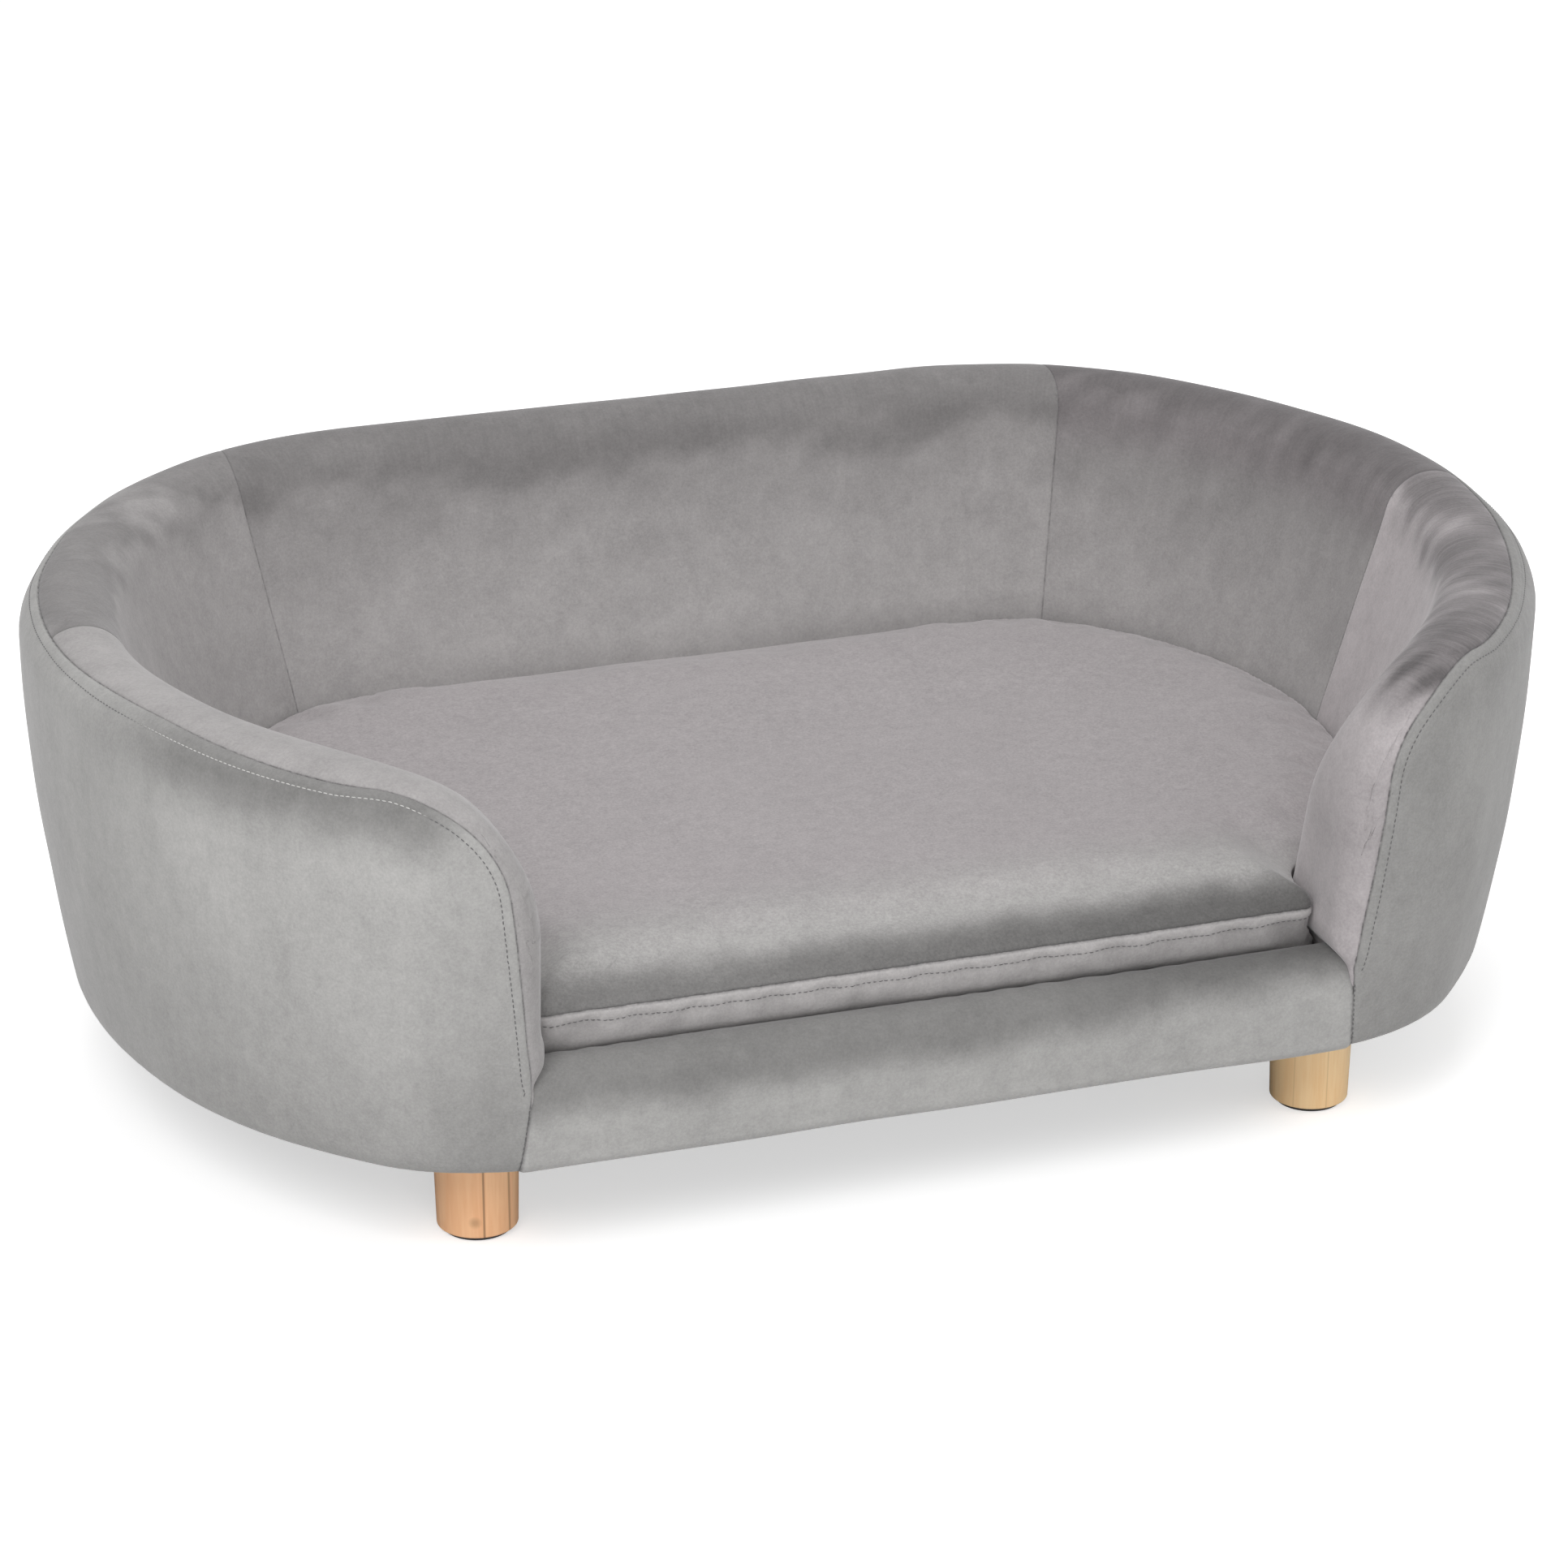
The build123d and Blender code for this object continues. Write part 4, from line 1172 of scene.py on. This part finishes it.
def zip_level(p):
    """Level function of the zip's window in the rear boxing, below zero inside."""
    past_end = np.abs(p[:, 0]) - ZIP_HIGH.x
    past_edge = np.abs(p[:, 2] - ZIP_MIDDLE) - (ZIP_HIGH.z - ZIP_MIDDLE)
    return np.where(p[:, 1] > 0, round_max(past_end, past_edge, 1 * MM), 1.0)


def zip_reach(p):
    """The rear of the cushion's side."""
    return cushion_rim(p) & (p[:, 1] > 200 * MM) & (np.abs(p[:, 2] - ZIP_MIDDLE) < 20 * MM)


def right_rear(p):
    """The right rear of the cushion, where a welt stands up above the seam."""
    return smooth_step(150 * MM, 260 * MM, p[:, 0]) * smooth_step(-60 * MM, 30 * MM, p[:, 1])


def cushion_painted_light(p):
    """Painted shade along the front roll of the cushion with a painted lighter strip behind it, even on top.
    """
    from_front = (p[:, 1] + CUSHION_FRONT) / MM + 1.4 * hand_waves(p, 35) / MM + 0.35 * ragged(p, 36)
    deep = -1.08 - 0.37 * smooth_step(-240 * MM, 240 * MM, p[:, 0])
    roll = through(from_front, (5, 1.0), (12, 0.8), (20, 0.3), (27, 0.0))
    roll = roll * (np.abs(p[:, 0]) < TONGUE_HALF + 20 * MM)
    side = smooth_step(0.0, 240 * MM, p[:, 0])
    # Painted light and shade on the boxing, below the seam
    below = np.where(p[:, 2] > CUSHION_SEAM - 8 * MM, 0.4 - 0.1 * side, 0.3 - 0.35 * side)
    over_seam = cushion_level(p) / MM
    # Painted highlight and painted shade lines along the welt at the right rear
    welt = 0.4 * bell(over_seam - 7.5, 1.6) - 0.6 * bell(over_seam - 3.5, 2)
    above = deep * roll + 0.16 * bell(from_front - 40, 16) + right_rear(p) * welt
    return np.where(over_seam > 0, above, below)


def cushion_rose(p):
    """How pink the grey of the cushion is: most on its top, little on its front roll and boxing."""
    from_front = (p[:, 1] + CUSHION_FRONT) / MM
    return np.where(cushion_level(p) > 0, 0.12 + 0.8 * smooth_step(20, 110, from_front), 0.42)


def cushion_ring(angle, z, drawn_in=0.0):
    """Outline of the cushion's side at a height, one point for each angle round its middle."""
    way = np.column_stack((np.cos(angle), np.sin(angle)))
    heights = np.full(len(angle), z)
    reach = bisected(np.full(len(angle), 0.1), np.full(len(angle), 0.5),
                     lambda half: cushion_plan(np.column_stack((way * half[:, None], heights))) < 0)
    return np.column_stack((way * (reach - drawn_in)[:, None], heights))


def cushion_blank():
    """Coarse closed block of the cushion's plan."""
    count = 240
    angle = np.linspace(0, 2 * math.pi, count, endpoint=False)
    levels = (CUSHION_LOW, CUSHION_SEAM - 40 * MM, CUSHION_SEAM, CUSHION_SEAM + 12 * MM, CUSHION_TOP - 1 * MM)
    rings = [cushion_ring(angle, z, max(z - CUSHION_SEAM, 0) * 1.2) for z in levels]
    return from_pydata("cushion_blank", np.concatenate(rings), tube_faces(0, len(rings), count))


def blown(made, pressure, cap, held):
    """Lets a closed cloth swell under pressure, with no point moving further than the cap."""
    rest = coords(made.data)
    group = made.vertex_groups.new(name="held")
    group.add([int(i) for i in np.nonzero(held)[0]], 1.0, "REPLACE")
    modifier = made.modifiers.new("cloth", "CLOTH")
    settings = modifier.settings
    settings.quality = 6
    settings.mass = 0.4
    settings.tension_stiffness = 40
    settings.compression_stiffness = 12
    settings.shear_stiffness = 20
    settings.bending_stiffness = 4
    settings.use_pressure = True
    settings.uniform_pressure_force = pressure
    settings.effector_weights.gravity = 0
    settings.vertex_group_mass = "held"
    settings.shrink_min = -0.012
    modifier.point_cache.frame_start = 1
    modifier.point_cache.frame_end = SIMULATION_STEPS
    for number in range(1, SIMULATION_STEPS + 1):
        bpy.context.scene.frame_set(number)
    graph = bpy.context.evaluated_depsgraph_get()
    mesh = bpy.data.meshes.new_from_object(made.evaluated_get(graph))
    moved = coords(mesh) - rest
    made.modifiers.clear()
    bpy.context.scene.frame_set(1)
    bpy.data.meshes.remove(mesh)
    length = np.linalg.norm(moved, axis=1, keepdims=True)
    return moved * np.minimum(1, cap / np.maximum(length, 1e-9))


def carried(rest, moved, points):
    """Displacements of new points, averaged from the nearest simulated ones."""
    tree = tree_of(rest)
    found = np.zeros_like(points)
    for row, point in enumerate(points):
        near = tree.find_n(point, 4)
        weight = np.array([1 / (distance + 0.3 * MM) for _, _, distance in near])
        found[row] = (moved[[index for _, index, _ in near]] * weight[:, None]).sum(0) / weight.sum()
    return found


def kept_clear(p, gap):
    """Points pushed out of the tub and the rail, as far as the gap from them."""
    for field in (tub_field, rail_field):
        deep = np.maximum(gap - field(p), 0)
        near = deep > 0
        if near.any():
            p[near] += slope_of(field, p[near]) * deep[near][:, None]
    return p


def cushion_ids(p):
    """Part of each point on the cushion: a place in CUSHION_PARTS."""
    rim = cushion_rim(p)
    upper = ~rim & (p[:, 2] > (CUSHION_LOW + CUSHION_TOP) / 2)
    ids = np.where((cushion_level(p) > 0) | upper, 0, np.where((base_level(p) < 0) | ~rim, 2, 1))
    return np.where((zip_level(p) < 0) & zip_reach(p), 3, ids)


def cushion_pieces():
    """The cushion's cover as top panel, boxing, base panel and zip tape, swollen by a cloth simulation."""
    blank = new_object("cushion_blank", cushion_blank())
    remeshed(blank, 6 * MM)
    mesh = blank.data
    rest = settle_steep(cushion_field, coords(mesh))
    put_coords(mesh, rest)
    held = (np.abs(cushion_level(rest)) < 3.5 * MM) | (rest[:, 2] < CUSHION_LOW + 1.5 * MM)
    moved = blown(blank, 3.5, 4 * MM, held & cushion_rim(rest))
    seams = ((cushion_level, cushion_rim, 9 * MM), (base_level, cushion_rim, 5 * MM),
             (zip_level, zip_reach, 5 * MM))
    for level, reach, width in seams:
        subdivided_near(mesh, level, reach, width)
    put_coords(mesh, settle_steep(cushion_field, coords(mesh), 3))
    for level, reach, _ in seams:
        cut_along(mesh, level, reach)
    p = coords(mesh)
    ids = cushion_ids(np.array([polygon.center for polygon in mesh.polygons]))
    to_seam = near_distance(p, [spot for spots, _ in borders(mesh, ids) for spot in spots])
    normal = slope_of(cushion_field, p, 1 * MM)
    lip = (cushion_level(p) < 0) & (p[:, 2] > CUSHION_SEAM - 25 * MM)
    shift = -1.3 * MM * np.exp(-to_seam / (1.4 * MM))
    band = 1 - smooth_step(6 * MM, 8 * MM, to_seam)
    shift += np.where(lip, 0.9 * MM * band * smooth_step(0.0, 1.2 * MM, to_seam)
                      - 0.5 * MM * bell(to_seam - 6.6 * MM, 1.1 * MM), 0)
    front = smooth_step(240 * MM, 290 * MM, -p[:, 1]) * bell(p[:, 2] - 142 * MM, 11 * MM)
    corner = smooth_step(205 * MM, 250 * MM, np.abs(p[:, 0]))
    fold = np.sin(p[:, 0] * 2 * math.pi / (38 * MM) + p[:, 2] / (9 * MM))
    shift += front * fold * (0.35 + 1.1 * corner) * MM
    shift += hand_waves(p, 21) * 0.6
    off_zip = smooth_step(2 * MM, 14 * MM, zip_level(p))
    shift = shift * off_zip - ZIP_RECESS * (1 - smooth_step(-1.5 * MM, 0.0, zip_level(p)))
    # Painted light and shade of the pile
    tone = cushion_painted_light(p)
    p = p + carried(rest, moved, p) * off_zip[:, None]
    welt = 1.4 * MM * right_rear(p) * bell(cushion_level(p) - 7 * MM, 1.6 * MM)
    p = kept_clear(p + normal * shift[:, None], 1 * MM)
    p[:, 2] = np.maximum(p[:, 2] + welt, CUSHION_LOW)
    put_coords(mesh, p)
    # Painted shade in the seam grooves
    write_layers(mesh, groove=bell(to_seam, SHADE_WIDTH), tone=tone, rose=cushion_rose(p))
    made = split_up(mesh, ids, CUSHION_PARTS)
    bpy.data.objects.remove(blank)
    return made


def rear_surface(x, z):
    """Point of the cushion's rear at a width and height."""
    y = bisected(np.zeros_like(x), np.full_like(x, HALF_DEPTH),
                 lambda middle: cushion_plan(np.column_stack((x, middle, z))) < 0)
    return np.column_stack((x, y, z))


def zip_rows():
    """Stitch lines on the boxing above and below the zip."""
    x = np.linspace(-ZIP_HIGH.x - 3 * MM, ZIP_HIGH.x + 3 * MM, 200)
    return [rear_surface(x, np.full_like(x, z)) for z in (ZIP_LOW.z - 2.5 * MM, ZIP_HIGH.z + 2.5 * MM)]


def zip_teeth():
    """Coil of the zip: two interleaved rows of small bent loops along the middle of the tape."""
    low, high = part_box("zip_chain")
    bottom, top = rear_surface(np.zeros(2), np.array((ZIP_LOW.z, ZIP_HIGH.z)))
    up = (top - bottom) / np.linalg.norm(top - bottom)
    out = np.cross(up, (1.0, 0, 0))
    out *= np.sign(out[1])
    pitch, thick, sides, steps = 1.5 * MM, 0.42 * MM, 6, 7
    half = (high.z - low.z) / 2 * 0.95
    middle = rear_surface(np.zeros(1), np.array((ZIP_MIDDLE,)))[0]
    points, faces = [], []
    for number in range(int((high.x - low.x) / pitch)):
        x = low.x + (number + 0.5) * pitch
        side = 1 if number % 2 else -1
        faces += tube_faces(len(points), steps, sides)
        for step in range(steps):
            share = step / (steps - 1)
            along = side * half * (1.15 * share - 0.15)
            lift = (0.25 + 1.0 * math.sin(math.pi * (0.15 + 0.75 * (1 - share)))) * MM - ZIP_RECESS
            centre = middle + np.array((x, 0, 0)) + up * along + out * lift
            size = thick * (0.5 if step in (0, steps - 1) else 1.0) * (1.25 if step == 1 else 1.0)
            for corner in range(sides):
                angle = 2 * math.pi * corner / sides
                way = np.array((math.cos(angle) * side, 0, 0)) + out * math.sin(angle)
                points.append(centre + size * way)
    return smooth_object("zip_teeth", from_pydata("zip_teeth", points, faces))


# Linings: flat sheets over and under the base board


def plan_sheet(name, edge, height, crease, thick):
    """A thin sheet whose edge is given as points round the plan, with slight creases."""
    rings = 26
    count = len(edge)
    points, faces = [(0.0, 0.0, height)], []
    for ring in range(1, rings + 1):
        points += [(x * ring / rings, y * ring / rings, height) for x, y in edge]
    for spoke in range(count):
        after = (spoke + 1) % count
        faces.append((0, 1 + spoke, 1 + after))
        for ring in range(rings - 1):
            low, high = 1 + ring * count, 1 + (ring + 1) * count
            faces.append((low + spoke, high + spoke, high + after, low + after))
    mesh = from_pydata(name, points, faces)
    p = coords(mesh)
    outward = np.concatenate(([0], np.repeat(np.arange(1, rings + 1), count))) / rings
    p[:, 2] += crease * (1 - smooth_step(0.86, 1.0, outward)) * (hand_waves(p, 41) / MM)
    put_coords(mesh, p)
    made = new_object(name, mesh)
    modifier = made.modifiers.new("thickness", "SOLIDIFY")
    modifier.thickness = thick
    modifier.offset = 0
    return baked(made)


def plan_edge(inset, tongue=0.0):
    """Points round the rim outline drawn in by the inset. A tongue reaches forward between the arms."""
    spot, out = plan_point(np.linspace(0, HALF_RUN, 121))
    half = spot - out * inset
    if tongue:
        half = half[(half[:, 0] > HALF_WAY) | (half[:, 1] > 0)]
        half = np.concatenate(([(0, tongue), (HALF_WAY, tongue)], half))
    return np.concatenate((half, half[-2:0:-1] * (-1, 1)))


def lining(name, node_name, edge):
    """A sheet of lining in the place of its CAD node."""
    low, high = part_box(node_name)
    middle = (low.z + high.z) / 2
    made = plan_sheet(name, edge, middle, 0.12 * MM, (high.z - low.z) * 0.6)
    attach(made, "tub")
    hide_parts(node_name)
    return made


# Cloth of the tub and the rail
velvet_grey = velvet("velvet", 0.2, 0.26, 0.22, 0.32)
velvet_top = velvet("velvet_top", 0.1, 0.12, 0.28, 0.5)
thread = thread_material()
lining_black = woven("lining", (0.03, 0.03, 0.032), 0.0012, 0.35)
tape_grey = woven("zip_tape", (0.16, 0.155, 0.152), 0.0008, 0.3)

panels = tub_panels()
for name, made in panels.items():
    paint(made, velvet_grey)
    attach(made, "tub")
    foam = [name.replace("inner_cover", "inner_padding")]
    if name == "outer_cover":
        foam = [part.replace("inner_cover", "outer_padding") for part in PANELS[1:]]
    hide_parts(name, *foam)
rail = rail_cloth()
paint(rail, velvet_grey)
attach(rail, "tub")
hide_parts("rail_cover", "rail_padding")


def rim_thread_painted_light(spot):
    """Painted highlight on the thread along the rim of the left arm, where it catches the light; painted dark
    on the arm fronts.
    """
    left = smooth_step(300 * MM, 330 * MM, -spot[0]) * smooth_step(306 * MM, 312 * MM, spot[2])
    return float(0.75 * left * (1 - smooth_step(-190 * MM, -130 * MM, spot[1])))


def thread_painted_shade(spot):
    """Thread painted as dark as can be everywhere: painted shade of the needle holes it sits in."""
    return 0.0


rim_row = both_sides(beside_seam(rim_seam_line(123 * MM), ROW_GAP))
rim_stitches = stitches("rim_stitches", [rim_row], [panels["outer_cover"]], rim_thread_painted_light)
join_row = rail_seam_line()
joins = [join_row, join_row * (-1, 1, 1)]
join_stitches = stitches("join_stitches", joins, [panels["outer_cover"], rail], thread_painted_shade)
for made in (rim_stitches, join_stitches):
    paint(made, thread)
    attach(made, "tub")

# Cloth, zip and stitches of the cushion
CUSHION_LOOKS = {
    "cushion_top_panel": (velvet_top, "velvet"), "cushion_boxing": (velvet_grey, "velvet"),
    "cushion_base_panel": (lining_black, "lining"), "zip_tape": (tape_grey, "zip_tape"),
}
cushion = cushion_pieces()
for name, made in cushion.items():
    material, slot = CUSHION_LOOKS[name]
    paint(made, material)
    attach(made, "cushion")
    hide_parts(name)
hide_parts("cushion_core")
teeth = zip_teeth()
paint(teeth, moulded("zip_coil", (0.13, 0.127, 0.125), 0.45))
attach(teeth, "cushion")
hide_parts("zip_chain")
ring = cushion_ring(np.linspace(0, 2 * math.pi, 1500), CUSHION_SEAM - 6.8 * MM)
ring[:, 2] -= seam_sag(ring[:, 1])
cushion_rows = [ring, *zip_rows()]
cushion_stitches = stitches("cushion_stitches", cushion_rows, [cushion["cushion_boxing"]], thread_painted_shade)
paint(cushion_stitches, thread)
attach(cushion_stitches, "cushion")

deck_edge = plan_edge(inner_face(DECK_Z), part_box("deck_cloth")[0].y)
deck = lining("deck_lining", "deck_cloth", deck_edge)
dust_inset = cad_high.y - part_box("dust_cover")[1].y
dust = lining("dust_lining", "dust_cover", plan_edge(dust_inset))
for made in (deck, dust):
    paint(made, lining_black)

# Legs and glides: two wood colours, joints as (offset, width, depth of shade), and the place of a knot
LEG_LOOKS = {
    "front_left": ((0.82, 0.43, 0.22), (0.97, 0.62, 0.36),
                   ((5.6 * MM, 0.9 * MM, 0.8), (20.5 * MM, 0.8 * MM, 0.6)), (-8, -24, 14)),
    "front_right": ((0.87, 0.56, 0.28), (0.98, 0.74, 0.44),
                    ((-12 * MM, 0.5 * MM, 0.2), (9 * MM, 0.5 * MM, 0.25)), (25, -6, 49)),
    "back_left": ((0.76, 0.43, 0.21), (0.93, 0.60, 0.34), ((-6 * MM, 0.7 * MM, 0.5),), (-20, 16, 38)),
    "back_right": ((0.78, 0.46, 0.23), (0.94, 0.64, 0.36), ((11 * MM, 0.7 * MM, 0.45),), (14, 22, 22)),
}
glide_dark = moulded("glide", (0.028, 0.027, 0.027), 0.55)
for place_name, (dark, light, joints, knot) in LEG_LOOKS.items():
    low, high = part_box(f"leg_{place_name}")
    centre = ((low.x + high.x) / 2, (low.y + high.y) / 2, 0)
    wood = pine_leg(f"pine_{place_name}", centre, dark, light, joints, tuple(value * MM for value in knot))
    paint(nodes[f"leg_{place_name}"], wood)
    paint(nodes[f"glide_{place_name}"], glide_dark)

# Wooden frame, metal fixings and the slider of the zip
ply = sawn_wood("plywood", (0.42, 0.27, 0.13), (0.62, 0.44, 0.24), 0.03, (0.12, 1, 1))
hardboard = sawn_wood("hardboard", (0.09, 0.05, 0.026), (0.15, 0.088, 0.045), 0.006, (1, 1, 1), 0.6)
frame_pine = sawn_wood("frame_pine", (0.55, 0.36, 0.17), (0.74, 0.54, 0.29), 0.02, (1, 1, 0.14))
zinc = metal("zinc", (0.62, 0.62, 0.60), 0.35, 0.004)
slider_paint = metal("slider_paint", (0.22, 0.22, 0.22), 0.4, 0.002)
CARRIED = {
    "base_board": ply, "outer_board": ply, "top_rib": ply, "inner_board": hardboard,
    "wall_studs": frame_pine, "arm_post_left": frame_pine, "arm_post_right": frame_pine,
    "rail_board": frame_pine, "tee_nuts": zinc, "hanger_bolts": zinc, "hem_staples": zinc,
    "zip_slider": slider_paint,
}
for name, material in CARRIED.items():
    paint(nodes[name], material)

# White floor, which the camera sees a little lighter than the lamps leave it
FLOOR_HALF = 6
corners = [(x * FLOOR_HALF, y * FLOOR_HALF, 0) for x, y in ((-1, -1), (1, -1), (1, 1), (-1, 1))]
floor = new_object("floor", from_pydata("floor", corners, [(0, 1, 2, 3)]))
floor_material = bpy.data.materials.new("floor")
floor_material.use_nodes = True
floor_material.node_tree.nodes.clear()
floor_seen = node(floor_material, "ShaderNodeLightPath", "Is Camera Ray", {})
glow = {"Strength": calculated(floor_material, "MULTIPLY", floor_seen, 0.55)}
floor_parts = {
    0: node(floor_material, "ShaderNodeBsdfDiffuse", 0, {"Color": (0.82, 0.82, 0.82, 1)}),
    1: node(floor_material, "ShaderNodeEmission", 0, glow),
}
floor_output = floor_material.node_tree.nodes.new("ShaderNodeOutputMaterial")
plug(floor_output.inputs["Surface"], node(floor_material, "ShaderNodeAddShader", 0, floor_parts))
paint(floor, floor_material)

# White world: full strength where it is seen, mirrored or seen through, weaker as a light
world = bpy.data.worlds.new("world")
bpy.context.scene.world = world
world.use_nodes = True
rays = node(world, "ShaderNodeLightPath", "Is Camera Ray", {}).node.outputs
seen = calculated(world, "MAXIMUM", rays["Is Camera Ray"], rays["Is Glossy Ray"])
seen = calculated(world, "MAXIMUM", seen, rays["Is Transmission Ray"])
strength = node(world, "ShaderNodeMapRange", "Result", {"Value": seen, "To Min": 0.42, "To Max": 1.0})
plug_all(world.node_tree.nodes["Background"], {"Color": (1, 1, 1, 1), "Strength": strength})


def lamp(name, spot, aim, size, power):
    """Soft square lamp."""
    data = bpy.data.lights.new(name, "AREA")
    data.shape = "SQUARE"
    data.size = size
    data.energy = power
    aimed(new_object(name, data), spot, Vector(aim) - Vector(spot))


lamp("key", (-1.6, -2.2, 2.6), (0, 0, 0.1), 1.6, 51)
lamp("fill", (2.4, -1.4, 1.5), (0, 0, 0.1), 1.8, 15)
lamp("top", (0.3, 0.6, 3.0), (0, 0, 0.1), 2.0, 31)
lamp("low", (-0.5, -2.6, 0.45), (0, 0, 0.05), 1.0, 14)

scene = bpy.context.scene
scene.view_settings.view_transform = "Standard"
